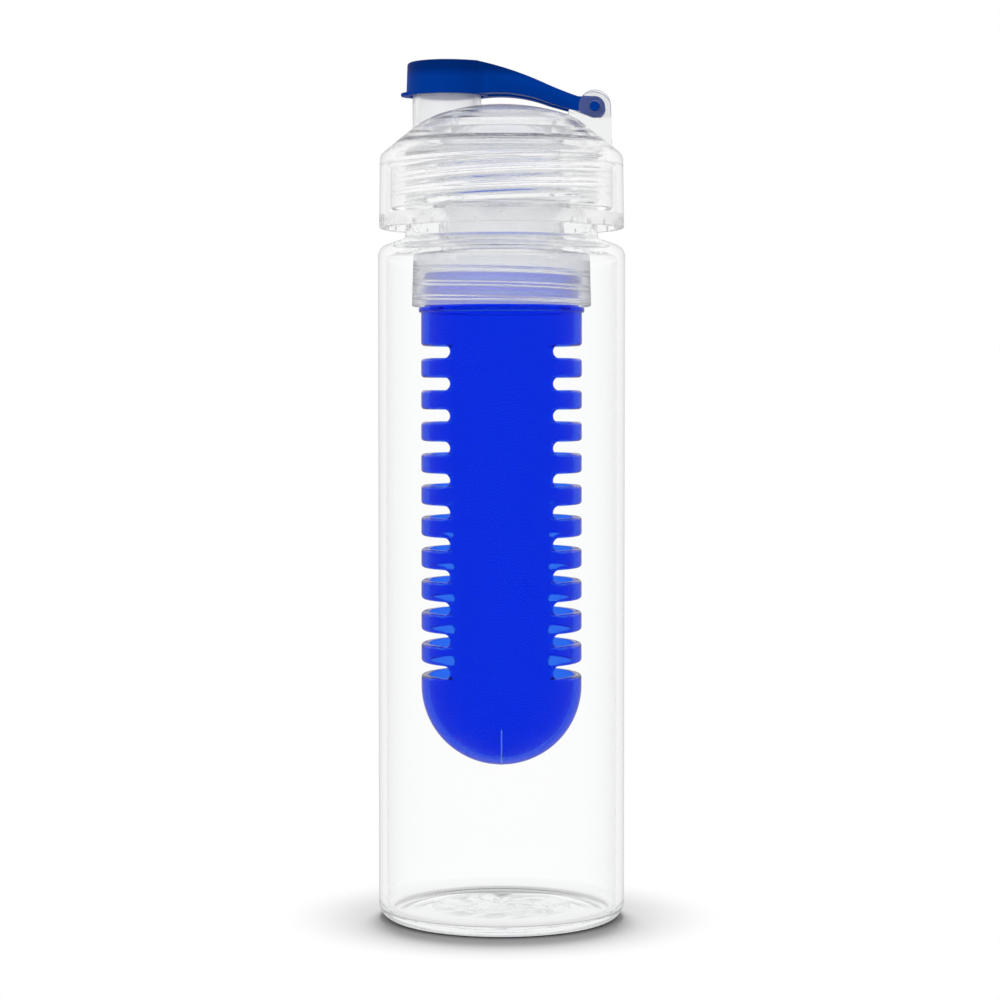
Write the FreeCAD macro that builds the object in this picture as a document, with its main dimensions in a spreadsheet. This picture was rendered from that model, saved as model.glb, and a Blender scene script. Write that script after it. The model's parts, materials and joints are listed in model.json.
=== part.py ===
import FreeCAD, Part

import math
import os
import re

import Sketcher
from FreeCAD import Vector

# Fruit infuser water bottle: a clear bottle, a clear screw cap with a drinking spout under a hinged lid,
# and a slotted basket that hangs from the cap on a collar. Millimetres, +Z up. The origin is the middle of
# the base, the spout is on -X, and the lid's hinge is on +X with its axis along Y.

# Driving dimensions. Heights that are not listed follow from these.
SIZES = {
    # Bottle body
    "body_radius": 36.5,
    "body_wall": 2.2,
    "base_round": 4.5,
    "base_thickness": 3.0,
    "ring_inset": 6.5,
    "punt_rise": 1.4,
    "hub_inset": 16.0,
    "hub_step": 0.5,
    "shoulder_height": 201.5,
    "shoulder_fall": 2.9,
    "shoulder_round": 3.5,
    "inner_shoulder_round": 2.4,
    "shoulder_width": 8.0,
    "neck_wall": 1.6,
    "neck_height": 25.0,
    "neck_root_round": 0.8,
    "neck_lip_round": 0.4,
    # Neck seal
    "gasket_thickness": 1.6,
    "gasket_overhang": 1.8,
    # Screw cap
    "cap_clearance": 2.9,
    "cap_inset": 0.3,
    "cap_draft": 0.3,
    "cap_wall": 1.8,
    "cap_side": 21.4,
    "cap_round": 3.0,
    "cone_width": 13.4,
    "dome_edge_rise": 10.9,
    "dome_rise": 4.1,
    "dome_blend": 18.0,
    "crown_drop": 2.4,
    "thread_room": 2.5,
    "skirt_wall": 1.8,
    "skirt_lift": 5.6,
    "skirt_gap_depth": 18.6,
    "seat_width": 5.4,
    # Tube under the cap, which the collar snaps over
    "tube_inset": 9.6,
    "tube_wall": 1.5,
    "tube_end_drop": 6.9,
    "snap_depth": 0.9,
    "snap_lead": 2.2,
    "snap_land": 0.8,
    "stop_thickness": 1.5,
    "collar_fit": 0.3,
    # Drinking spout
    "spout_inset": 6.4,
    "spout_radius": 10.15,
    "spout_wall": 1.9,
    "spout_rise": 7.2,
    "spout_drop": 12.0,
    "spout_lip_round": 0.7,
    # Hinge bracket and pin
    "hinge_inset": 8.6,
    "hinge_drop": 1.0,
    "ear_radius": 4.7,
    "ear_thickness": 2.4,
    "ear_toe_angle": 20.0,
    "bracket_front": 7.65,
    "bracket_back": 5.1,
    "pin_radius": 1.5,
    "pin_clearance": 0.06,
    "pin_chamfer": 0.25,
    "hinge_clearance": 0.35,
    # Flip lid
    "lid_clearance": 0.75,
    "lid_draft": 0.35,
    "lid_wall": 1.1,
    "lid_overlap": 4.8,
    "lid_height": 9.8,
    "lid_roof": 2.0,
    "lid_edge_round": 1.1,
    "button_radius": 3.0,
    "button_height": 0.35,
    "thumb_radius": 6.0,
    "thumb_reach": 1.6,
    "thumb_thickness": 1.0,
    "arm_width": 17.0,
    "arm_root_reach": 8.8,
    "arm_bend_reach": 14.8,
    "arm_bend_rise": 7.0,
    "arm_neck_reach": 4.8,
    "arm_neck_rise": 3.2,
    "arm_neck_drop": 1.4,
    "arm_belly_reach": 13.3,
    "arm_belly_rise": 1.1,
    "arm_crest_radius": 95.0,
    "arm_sweep_radius": 110.0,
    "arm_belly_radius": 40.0,
    "arm_wall": 1.5,
    "channel_root_depth": 6.3,
    "channel_belly_depth": 3.2,
    "channel_end_depth": 2.4,
    "channel_end_reach": 6.8,
    "knuckle_radius": 3.0,
    "knuckle_width": 9.0,
    "knuckle_toe_angle": 30.0,
    # Lid seal
    "pad_clearance": 0.3,
    "plug_clearance": 0.35,
    "plug_draft": 0.5,
    "plug_depth": 2.7,
    "plug_wall": 1.3,
    # Collar
    "collar_drop": 20.1,
    "collar_clearance": 0.4,
    "collar_draft": 0.5,
    "collar_wall": 1.7,
    "collar_height": 16.9,
    "collar_round": 1.0,
    "collar_slope_rise": 2.4,
    "collar_roof": 1.6,
    "collar_neck_wall": 1.3,
    "collar_neck_height": 11.3,
    # Infuser basket
    "basket_inset": 2.7,
    "basket_wall": 2.2,
    "basket_length": 145.5,
    "basket_thread_room": 1.9,
    "basket_neck_length": 9.6,
    "bead_depth": 0.7,
    "bead_height": 1.5,
    "bead_round": 0.4,
    "bead_gap": 0.3,
    "slot_count": 11,
    "slot_pitch": 9.35,
    "slot_height": 3.7,
    "slot_bridge": 5.8,
    "slot_start": 28.9,
    # How far a cut or a join runs past the face that it meets
    "cut_overrun": 5.0,
}

FULL_TURN = 360
TOLERANCE = 1e-4

# Heights and radii that several pieces share, as formulas of the sizes above.
NECK_TOP = "(shoulder_height + neck_height)"
NECK_RADIUS = "(body_radius - shoulder_width)"
NECK_BORE = f"({NECK_RADIUS} - neck_wall)"
HUB_RADIUS = "(body_radius - hub_inset)"
SEAT = f"({NECK_TOP} + gasket_thickness)"
RIM = "(shoulder_height + cap_clearance)"
CORNER = f"({RIM} + cap_side)"
CAP_RADIUS = "(body_radius - cap_inset)"
CORNER_RADIUS = f"({CAP_RADIUS} - cap_draft)"
SKIRT_RADIUS = f"({NECK_RADIUS} + thread_room)"
DOME_EDGE_RADIUS = f"({CORNER_RADIUS} - cone_width)"
DOME_EDGE = f"({CORNER} + dome_edge_rise)"
APEX = f"({DOME_EDGE} + dome_rise)"
DOME_RADIUS = f"(({DOME_EDGE_RADIUS}^2 + dome_rise^2) / (2 * dome_rise))"
CONE_SLOPE = f"(dome_edge_rise / ({CORNER_RADIUS} - {DOME_EDGE_RADIUS}))"
GAP_TOP = f"({RIM} + skirt_gap_depth)"
COLLAR_RADIUS = f"({NECK_BORE} - collar_clearance)"
TUBE_RADIUS = f"({COLLAR_RADIUS} - tube_inset)"
TUBE_BORE = f"({TUBE_RADIUS} - tube_wall)"
SPOUT_OFFSET = f"({DOME_EDGE_RADIUS} - spout_inset)"
SPOUT_TOP = f"({APEX} + spout_rise)"
SPOUT_FOOT = f"({APEX} - spout_drop)"
SPOUT_BORE = "(spout_radius - spout_wall)"
PLUG_RADIUS = f"({SPOUT_BORE} - plug_clearance)"
HINGE_OFFSET = f"({CORNER_RADIUS} - hinge_inset)"
HINGE = f"({APEX} - hinge_drop)"
SLOT_WIDTH = "(knuckle_width + 2 * hinge_clearance)"
BRACKET_WIDTH = f"({SLOT_WIDTH} + 2 * ear_thickness)"
LID_FOOT = f"({SPOUT_TOP} - lid_overlap)"
LID_TOP = f"({LID_FOOT} + lid_height)"
LID_BORE = "(spout_radius + lid_clearance)"
LID_RADIUS = f"({LID_BORE} + lid_wall)"
COLLAR_FOOT = "(shoulder_height - collar_drop)"
COLLAR_SHOULDER = f"({COLLAR_FOOT} + collar_height)"
COLLAR_BORE = f"({TUBE_RADIUS} + collar_fit)"
COLLAR_NECK_RADIUS = f"({COLLAR_BORE} + collar_neck_wall)"
COLLAR_NECK_FOOT = f"({COLLAR_SHOULDER} + collar_slope_rise)"
COLLAR_TOP = f"({COLLAR_NECK_FOOT} + collar_neck_height)"
COLLAR_CEILING = f"({COLLAR_NECK_FOOT} - collar_roof)"
BASKET_TOP = f"({COLLAR_FOOT} + basket_neck_length)"
BASKET_FOOT = f"({BASKET_TOP} - basket_length)"
BASKET_RADIUS = f"({COLLAR_RADIUS} - basket_inset)"
BASKET_BORE = f"({BASKET_RADIUS} - basket_wall)"
BASKET_NECK_RADIUS = f"({COLLAR_RADIUS} - collar_wall - basket_thread_room)"
BEAD_RADIUS = f"({BASKET_RADIUS} + bead_depth)"
SLOT_LENGTH = f"(2 * ({BASKET_RADIUS} - slot_bridge))"
BEAD_TOP = f"({COLLAR_FOOT} - bead_gap)"

# The straight underside of the lid's arm just before the knuckle, which the bracket's shelf follows.
ARM_FALL = "((arm_belly_rise + arm_neck_drop) / (arm_belly_reach - arm_neck_reach))"
SHELF = f"({HINGE} - arm_neck_drop + (bracket_front - arm_neck_reach) * {ARM_FALL} - hinge_clearance)"

doc = FreeCAD.newDocument("fruit_infuser_bottle")
sheet = doc.addObject("Spreadsheet::Sheet", "Sizes")
for row, (alias, value) in enumerate(SIZES.items(), start=1):
    sheet.set(f"A{row}", alias)
    sheet.set(f"B{row}", str(value))
    sheet.setAlias(f"B{row}", alias)
doc.recompute()


def bound(formula):
    """Name the sheet in front of each size in a formula."""
    return re.sub(r"[a-z]+(?:_[a-z]+)+", r"Sizes.\g<0>", formula)


def number(formula):
    """What a formula of the sizes comes to."""
    return float(sheet.evalExpression(bound(formula)))


def new_body(name):
    body = doc.addObject("PartDesign::Body", name)
    body.Label = name
    return body


def sketch_on(body, role, name, **offset):
    """A sketch on one of the body's origin planes, moved along the plane's own x, y or z by a formula."""
    sketch = body.newObject("Sketcher::SketchObject", name)
    plane = next(feature for feature in body.Origin.OriginFeatures if feature.Role == role)
    sketch.AttachmentSupport = (plane, [""])
    sketch.MapMode = "FlatFace"
    for axis, formula in offset.items():
        sketch.setExpression(f"AttachmentOffset.Base.{axis}", bound(formula))
    return sketch


def hold(sketch, kind, picks, formula):
    """Add a dimension that follows a formula."""
    index = sketch.addConstraint(Sketcher.Constraint(kind, *picks, number(formula)))
    sketch.setExpression(f"Constraints[{index}]", bound(formula))


def place_point(sketch, index, point, spot):
    """Hold a point of the sketch at a pair of formulas, on an axis where one of them is zero."""
    for kind, axis, formula in (("DistanceX", -2, spot[0]), ("DistanceY", -1, spot[1])):
        if formula == "0":
            sketch.addConstraint(Sketcher.Constraint("PointOnObject", index, point, axis))
        else:
            hold(sketch, kind, (-1, 1, index, point), formula)


def arc_between(start, end, radius, left):
    """The shorter arc from start to end that bends left or right, always drawn anticlockwise."""
    chord = end - start
    rise = math.sqrt(max(radius ** 2 - (chord.Length / 2) ** 2, 0))
    aside = Vector(-chord.y, chord.x, 0).normalize() * (rise if left else -rise)
    centre = (start + end) / 2 + aside
    first, last = (start, end) if left else (end, start)
    angles = [math.atan2(spot.y - centre.y, spot.x - centre.x) for spot in (first, last)]
    return Part.ArcOfCircle(Part.Circle(centre, Vector(0, 0, 1), radius), *angles)


def outline(sketch, corners):
    """Draw a closed outline. A corner (x, y) is reached by a straight line, and (x, y, radius) by an arc that
    bends left, or right where the radius starts with a minus sign."""
    spots = [Vector(number(corner[0]), number(corner[1]), 0) for corner in corners]
    stretches = []
    for place, corner in enumerate(corners):
        start, end = spots[place - 1], spots[place]
        if len(corner) == 2:
            index = sketch.addGeometry(Part.LineSegment(start, end))
            stretches.append((index, 1, 2))
            continue
        left = not corner[2].startswith("-")
        radius = corner[2].lstrip("-")
        index = sketch.addGeometry(arc_between(start, end, number(radius), left))
        stretches.append((index, 1, 2) if left else (index, 2, 1))
        hold(sketch, "Radius", (index,), radius)
    for place, (index, begin, finish) in enumerate(stretches):
        before = stretches[place - 1]
        sketch.addConstraint(Sketcher.Constraint("Coincident", before[0], before[2], index, begin))
        place_point(sketch, index, finish, corners[place])


def circle(sketch, spot, radius):
    centre = Vector(number(spot[0]), number(spot[1]), 0)
    index = sketch.addGeometry(Part.Circle(centre, Vector(0, 0, 1), number(radius)))
    place_point(sketch, index, 3, spot)
    hold(sketch, "Radius", (index,), radius)


def add(body, kind, name, sketch, **settings):
    """Add a feature made from a sketch. Its length is a formula. A cut has to take something."""
    before = body.Shape.Volume if body.Tip else 0
    feature = body.newObject(f"PartDesign::{kind}", name)
    feature.Profile = sketch
    for setting, value in settings.items():
        if setting == "Length":
            feature.setExpression(setting, bound(value))
        else:
            setattr(feature, setting, value)
    doc.recompute()
    if kind in ("Pocket", "Groove") and body.Shape.Volume > before - TOLERANCE:
        raise RuntimeError(f"{body.Label}: {name} cuts nothing")
    return feature


def turn(body, kind, name, sketch):
    """Revolve a sketch all the way round its own upright axis, as a solid or as a cut."""
    return add(body, kind, name, sketch, ReferenceAxis=(sketch, ["V_Axis"]), Angle=FULL_TURN)


def ring_edges(feature, radius, height):
    """The round edges of a feature that have this radius and lie at this height."""
    names = []
    for place, edge in enumerate(feature.Shape.Edges, start=1):
        if edge.Degenerated or not isinstance(edge.Curve, Part.Circle):
            continue
        if abs(edge.Curve.Radius - number(radius)) < TOLERANCE \
                and abs(edge.Curve.Center.z - number(height)) < TOLERANCE:
            names.append(f"Edge{place}")
    return names


def ease(body, kind, name, feature, edges, **sizes):
    """Round or chamfer edges of the last feature."""
    easing = body.newObject(f"PartDesign::{kind}", name)
    easing.Base = (feature, edges)
    for setting, formula in sizes.items():
        easing.setExpression(setting, bound(formula))
    doc.recompute()
    return easing


def make_bottle_body():
    body = new_body("bottle_body")
    shoulder_slope = f"(shoulder_fall / (body_radius - {NECK_RADIUS}))"
    inner_radius = "(body_radius - body_wall)"
    # The inside of the shoulder runs parallel to the outside, one wall lower.
    bore_foot = f"shoulder_height + neck_wall * {shoulder_slope} - body_wall"
    inner_edge = f"shoulder_height - ({inner_radius} - {NECK_RADIUS}) * {shoulder_slope} - body_wall"
    profile = sketch_on(body, "XZ_Plane", "bottle_profile")
    outline(profile, [
        ("0", "punt_rise + hub_step"),
        (HUB_RADIUS, "punt_rise + hub_step"),
        (HUB_RADIUS, "punt_rise"),
        ("body_radius - ring_inset", "0"),
        ("body_radius - base_round", "0"),
        ("body_radius", "base_round", "base_round"),
        ("body_radius", "shoulder_height - shoulder_fall"),
        (NECK_RADIUS, "shoulder_height"),
        (NECK_RADIUS, NECK_TOP),
        (NECK_BORE, NECK_TOP),
        (NECK_BORE, bore_foot),
        (inner_radius, inner_edge),
        (inner_radius, "base_thickness + base_round - body_wall"),
        (f"{inner_radius} - base_round + body_wall", "base_thickness", "-(base_round - body_wall)"),
        ("0", "base_thickness + punt_rise"),
    ])
    shell = turn(body, "Revolution", "bottle_shell", profile)
    edges = ring_edges(shell, "body_radius", "shoulder_height - shoulder_fall")
    shell = ease(body, "Fillet", "shoulder_rounding", shell, edges, Radius="shoulder_round")
    edges = ring_edges(shell, inner_radius, inner_edge)
    shell = ease(body, "Fillet", "inner_rounding", shell, edges, Radius="inner_shoulder_round")
    edges = ring_edges(shell, NECK_RADIUS, "shoulder_height")
    shell = ease(body, "Fillet", "neck_root", shell, edges, Radius="neck_root_round")
    edges = ring_edges(shell, NECK_RADIUS, NECK_TOP) + ring_edges(shell, NECK_BORE, NECK_TOP)
    ease(body, "Fillet", "neck_lip", shell, edges, Radius="neck_lip_round")
    return body


def make_neck_seal():
    body = new_body("neck_seal")
    profile = sketch_on(body, "XZ_Plane", "gasket_profile")
    outer = f"({NECK_RADIUS} + gasket_overhang)"
    outline(profile, [
        (NECK_BORE, NECK_TOP),
        (outer, NECK_TOP),
        (outer, SEAT),
        (NECK_BORE, SEAT),
    ])
    turn(body, "Revolution", "gasket_ring", profile)
    return body


def crown_underside(radius):
    """Height of the dome's inner face at a radius."""
    return f"{APEX} - crown_drop - {DOME_RADIUS} + sqrt({DOME_RADIUS}^2 - ({radius})^2)"


def make_cap_shell(body):
    """The outside of the cap, with its corner and the foot of its dome rounded."""
    profile = sketch_on(body, "YZ_Plane", "bell_profile")
    outline(profile, [
        ("0", RIM),
        (CAP_RADIUS, RIM),
        (CORNER_RADIUS, CORNER),
        (DOME_EDGE_RADIUS, DOME_EDGE),
        ("0", APEX, DOME_RADIUS),
    ])
    bell = turn(body, "Revolution", "bell", profile)
    edges = ring_edges(bell, CORNER_RADIUS, CORNER)
    bell = ease(body, "Fillet", "corner_rounding", bell, edges, Radius="cap_round")
    edges = ring_edges(bell, DOME_EDGE_RADIUS, DOME_EDGE)
    ease(body, "Fillet", "dome_blending", bell, edges, Radius="dome_blend")


def make_hinge_bracket(body):
    """Two ears on a shelf that follows the arm's underside."""
    front = f"({HINGE_OFFSET} - bracket_front)"
    back = f"({HINGE_OFFSET} + bracket_back)"
    ears = sketch_on(body, "XZ_Plane", "bracket_profile")
    outline(ears, [
        (front, GAP_TOP),
        (front, SHELF),
        (f"{HINGE_OFFSET} - ear_radius * cos(ear_toe_angle * 1 deg)",
         f"{HINGE} - ear_radius * sin(ear_toe_angle * 1 deg)"),
        (HINGE_OFFSET, f"{HINGE} + ear_radius", "-ear_radius"),
        (f"{HINGE_OFFSET} + ear_radius", HINGE, "-ear_radius"),
        (back, GAP_TOP),
    ])
    add(body, "Pad", "bracket", ears, SideType="Symmetric", Length=BRACKET_WIDTH)


def cut_hinge_slot(body):
    """Room between the ears for the knuckle, with the shelf left under it, and the pin's holes."""
    room = "(knuckle_radius + hinge_clearance)"
    past_front = f"{HINGE_OFFSET} - bracket_front - cut_overrun"
    past_back = f"{HINGE_OFFSET} + bracket_back + cut_overrun"
    above = f"{HINGE} + ear_radius + cut_overrun"
    slot = sketch_on(body, "XZ_Plane", "knuckle_slot_profile")
    outline(slot, [
        (past_front, f"{SHELF} + cut_overrun * {ARM_FALL}"),
        (f"{HINGE_OFFSET} - arm_neck_reach", f"{HINGE} - arm_neck_drop - hinge_clearance"),
        (f"{HINGE_OFFSET} - {room} * sin(knuckle_toe_angle * 1 deg)",
         f"{HINGE} - {room} * cos(knuckle_toe_angle * 1 deg)"),
        (HINGE_OFFSET, f"{HINGE} - {room}", room),
        (past_back, f"{HINGE} - {room}"),
        (past_back, above),
        (past_front, above),
    ])
    add(body, "Pocket", "knuckle_slot", slot, SideType="Symmetric", Length=SLOT_WIDTH)
    hole = sketch_on(body, "XZ_Plane", "pin_hole_profile")
    circle(hole, (HINGE_OFFSET, HINGE), "pin_radius + pin_clearance")
    add(body, "Pocket", "pin_hole", hole, SideType="Symmetric", Length=f"{BRACKET_WIDTH} + cut_overrun")


def hollow_cap(body):
    """Cut the inside: the room for the neck, the gap behind the outer wall and the bore of the tube."""
    skirt_outer = f"({SKIRT_RADIUS} + skirt_wall)"
    seat_inner = f"({SKIRT_RADIUS} - seat_width)"
    below = f"{RIM} - cut_overrun"
    stop_foot = f"({COLLAR_TOP} + collar_fit)"
    hollow = sketch_on(body, "YZ_Plane", "hollow_profile")
    outline(hollow, [
        (TUBE_RADIUS, below),
        (f"{CAP_RADIUS} - cap_wall", below),
        (f"{CAP_RADIUS} - cap_wall", RIM),
        (f"{CORNER_RADIUS} - cap_wall", GAP_TOP),
        (skirt_outer, GAP_TOP),
        (skirt_outer, f"{RIM} + skirt_lift"),
        (SKIRT_RADIUS, f"{RIM} + skirt_lift"),
        (SKIRT_RADIUS, SEAT),
        (seat_inner, SEAT),
        (seat_inner, f"{DOME_EDGE} - ({seat_inner} - {DOME_EDGE_RADIUS}) * {CONE_SLOPE} - crown_drop"),
        (DOME_EDGE_RADIUS, f"{DOME_EDGE} - crown_drop"),
        (TUBE_RADIUS, crown_underside(TUBE_RADIUS), DOME_RADIUS),
        (TUBE_RADIUS, f"{stop_foot} + stop_thickness"),
        (COLLAR_NECK_RADIUS, f"{stop_foot} + stop_thickness"),
        (COLLAR_NECK_RADIUS, stop_foot),
        (TUBE_RADIUS, stop_foot),
    ])
    turn(body, "Groove", "neck_room", hollow)
    bore = sketch_on(body, "YZ_Plane", "tube_bore_profile")
    outline(bore, [
        ("0", below),
        (TUBE_BORE, below),
        (TUBE_BORE, crown_underside(TUBE_BORE)),
        ("0", f"{APEX} - crown_drop", DOME_RADIUS),
    ])
    turn(body, "Groove", "tube_bore", bore)


def add_tube_end(body):
    """The tube below the rim, ending in a snap bead that holds the collar up."""
    land = f"({COLLAR_CEILING} - collar_fit)"
    tube = sketch_on(body, "YZ_Plane", "tube_profile")
    outline(tube, [
        (TUBE_BORE, "shoulder_height - tube_end_drop"),
        (TUBE_RADIUS, "shoulder_height - tube_end_drop"),
        (TUBE_RADIUS, f"{land} - snap_land - snap_lead"),
        (f"{TUBE_RADIUS} + snap_depth", f"{land} - snap_land"),
        (f"{TUBE_RADIUS} + snap_depth", land),
        (TUBE_RADIUS, land),
        (TUBE_RADIUS, f"{RIM} + cut_overrun"),
        (TUBE_BORE, f"{RIM} + cut_overrun"),
    ])
    turn(body, "Revolution", "tube_end", tube)


def make_screw_cap():
    body = new_body("screw_cap")
    make_cap_shell(body)
    spout = sketch_on(body, "XY_Plane", "spout_profile", z=SPOUT_FOOT)
    circle(spout, (f"-{SPOUT_OFFSET}", "0"), "spout_radius")
    tower = add(body, "Pad", "spout", spout, Length=f"{SPOUT_TOP} - {SPOUT_FOOT}")
    edges = ring_edges(tower, "spout_radius", SPOUT_TOP)
    ease(body, "Fillet", "spout_lip", tower, edges, Radius="spout_lip_round")
    make_hinge_bracket(body)
    bore = sketch_on(body, "XY_Plane", "spout_bore_profile", z=SPOUT_FOOT)
    circle(bore, (f"-{SPOUT_OFFSET}", "0"), SPOUT_BORE)
    add(body, "Pocket", "spout_bore", bore, Reversed=True, Length=f"{SPOUT_TOP} - {SPOUT_FOOT} + cut_overrun")
    hollow_cap(body)
    add_tube_end(body)
    cut_hinge_slot(body)
    return body


def make_lid_arm(body):
    """The arm from the cup down to the knuckle: its side, then its taper in plan."""
    root = f"(arm_root_reach - {SPOUT_OFFSET})"
    neck = f"({HINGE_OFFSET} - arm_neck_reach)"
    toe = "knuckle_toe_angle * 1 deg"
    side = sketch_on(body, "XZ_Plane", "arm_profile")
    outline(side, [
        (root, LID_TOP),
        (f"{HINGE_OFFSET} - arm_bend_reach", f"{HINGE} + arm_bend_rise", "-arm_crest_radius"),
        (neck, f"{HINGE} + arm_neck_rise", "arm_sweep_radius"),
        (HINGE_OFFSET, f"{HINGE} + knuckle_radius"),
        (f"{HINGE_OFFSET} + knuckle_radius", HINGE, "-knuckle_radius"),
        (f"{HINGE_OFFSET} - knuckle_radius * sin({toe})", f"{HINGE} - knuckle_radius * cos({toe})",
         "-knuckle_radius"),
        (neck, f"{HINGE} - arm_neck_drop"),
        (f"{HINGE_OFFSET} - arm_belly_reach", f"{HINGE} + arm_belly_rise"),
        (root, LID_FOOT, "arm_belly_radius"),
    ])
    add(body, "Pad", "arm", side, SideType="Symmetric", Length="arm_width")
    past = f"{HINGE_OFFSET} + knuckle_radius + cut_overrun"
    plan = sketch_on(body, "XY_Plane", "arm_taper_profile")
    for flank in ("", "-"):
        outline(plan, [
            (root, f"{flank}arm_width / 2"),
            (neck, f"{flank}knuckle_width / 2"),
            (past, f"{flank}knuckle_width / 2"),
            (past, f"{flank}(arm_width / 2 + cut_overrun)"),
            (root, f"{flank}(arm_width / 2 + cut_overrun)"),
        ])
    add(body, "Pocket", "arm_taper", plan, Reversed=True, Length=f"{LID_TOP} + cut_overrun")


def cut_arm_channel(body):
    """The arm is hollow from below, as a moulded one is."""
    start = f"({LID_RADIUS} - {SPOUT_OFFSET})"
    end = f"({HINGE_OFFSET} - channel_end_reach)"
    end_height = f"{HINGE} - arm_neck_drop + (channel_end_reach - arm_neck_reach) * {ARM_FALL}"
    below = f"{HINGE} - cut_overrun"
    channel = sketch_on(body, "XZ_Plane", "channel_profile")
    outline(channel, [
        (start, below),
        (end, below),
        (end, f"{end_height} + channel_end_depth"),
        (f"{HINGE_OFFSET} - arm_belly_reach", f"{HINGE} + arm_belly_rise + channel_belly_depth"),
        (start, f"{LID_FOOT} + channel_root_depth"),
    ])
    add(body, "Pocket", "arm_channel", channel, SideType="Symmetric", Length="knuckle_width - 2 * arm_wall")


def make_flip_lid():
    body = new_body("flip_lid")
    cup = sketch_on(body, "XZ_Plane", "cup_profile", x=f"-{SPOUT_OFFSET}")
    outline(cup, [
        ("0", LID_FOOT),
        (LID_RADIUS, LID_FOOT),
        (f"{LID_RADIUS} - lid_draft", f"{LID_TOP} - lid_edge_round"),
        (f"{LID_RADIUS} - lid_draft - lid_edge_round", LID_TOP, "lid_edge_round"),
        ("button_radius", LID_TOP),
        ("button_radius", f"{LID_TOP} + button_height"),
        ("0", f"{LID_TOP} + button_height"),
    ])
    turn(body, "Revolution", "cup", cup)
    thumb = sketch_on(body, "XY_Plane", "thumb_profile", z=LID_FOOT)
    circle(thumb, (f"thumb_radius - {SPOUT_OFFSET} - {LID_RADIUS} - thumb_reach", "0"), "thumb_radius")
    add(body, "Pad", "thumb_lip", thumb, Length="thumb_thickness")
    make_lid_arm(body)
    room = sketch_on(body, "XZ_Plane", "spout_room_profile", x=f"-{SPOUT_OFFSET}")
    outline(room, [
        ("0", f"{LID_FOOT} - cut_overrun"),
        (LID_BORE, f"{LID_FOOT} - cut_overrun"),
        (LID_BORE, f"{LID_TOP} - lid_roof"),
        ("0", f"{LID_TOP} - lid_roof"),
    ])
    turn(body, "Groove", "spout_room", room)
    cut_arm_channel(body)
    hole = sketch_on(body, "XZ_Plane", "knuckle_hole_profile")
    circle(hole, (HINGE_OFFSET, HINGE), "pin_radius")
    add(body, "Pocket", "knuckle_hole", hole, SideType="Symmetric", Length="knuckle_width + cut_overrun")
    return body


def make_lid_seal():
    """A soft pad in the roof of the lid, with a tapered plug that enters the spout."""
    body = new_body("lid_seal")
    pad_radius = f"({LID_BORE} - pad_clearance)"
    pad_foot = f"({SPOUT_TOP} + pad_clearance)"
    plug_end = f"({SPOUT_TOP} - plug_depth)"
    profile = sketch_on(body, "XZ_Plane", "plug_profile", x=f"-{SPOUT_OFFSET}")
    outline(profile, [
        ("0", pad_foot),
        (f"{PLUG_RADIUS} - plug_draft - plug_wall", pad_foot),
        (f"{PLUG_RADIUS} - plug_draft - plug_wall", plug_end),
        (f"{PLUG_RADIUS} - plug_draft", plug_end),
        (PLUG_RADIUS, pad_foot),
        (pad_radius, pad_foot),
        (pad_radius, f"{LID_TOP} - lid_roof"),
        ("0", f"{LID_TOP} - lid_roof"),
    ])
    turn(body, "Revolution", "plug", profile)
    return body


def make_hinge_pin():
    body = new_body("hinge_pin")
    profile = sketch_on(body, "XZ_Plane", "pin_profile")
    circle(profile, (HINGE_OFFSET, HINGE), "pin_radius")
    shaft = add(body, "Pad", "shaft", profile, SideType="Symmetric", Length=BRACKET_WIDTH)
    ends = ring_edges(shaft, "pin_radius", HINGE)
    ease(body, "Chamfer", "pin_ends", shaft, ends, Size="pin_chamfer")
    return body


def make_collar():
    body = new_body("collar")
    top_radius = f"({COLLAR_RADIUS} - collar_draft)"
    inner_top = f"({top_radius} - collar_wall)"
    roof_slope = f"(collar_slope_rise / ({top_radius} - {COLLAR_NECK_RADIUS}))"
    inner_shoulder = f"{COLLAR_CEILING} - ({inner_top} - {COLLAR_BORE}) * {roof_slope}"
    profile = sketch_on(body, "XZ_Plane", "collar_profile")
    outline(profile, [
        (f"{COLLAR_RADIUS} - collar_wall", COLLAR_FOOT),
        (COLLAR_RADIUS, COLLAR_FOOT),
        (top_radius, COLLAR_SHOULDER),
        (COLLAR_NECK_RADIUS, COLLAR_NECK_FOOT),
        (COLLAR_NECK_RADIUS, COLLAR_TOP),
        (COLLAR_BORE, COLLAR_TOP),
        (COLLAR_BORE, COLLAR_CEILING),
        (inner_top, inner_shoulder),
    ])
    ring = turn(body, "Revolution", "collar_ring", profile)
    edges = ring_edges(ring, top_radius, COLLAR_SHOULDER)
    ring = ease(body, "Fillet", "collar_rounding", ring, edges, Radius="collar_round")
    edges = ring_edges(ring, COLLAR_NECK_RADIUS, COLLAR_NECK_FOOT)
    ease(body, "Fillet", "collar_neck_root", ring, edges, Radius="collar_round")
    return body


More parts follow.
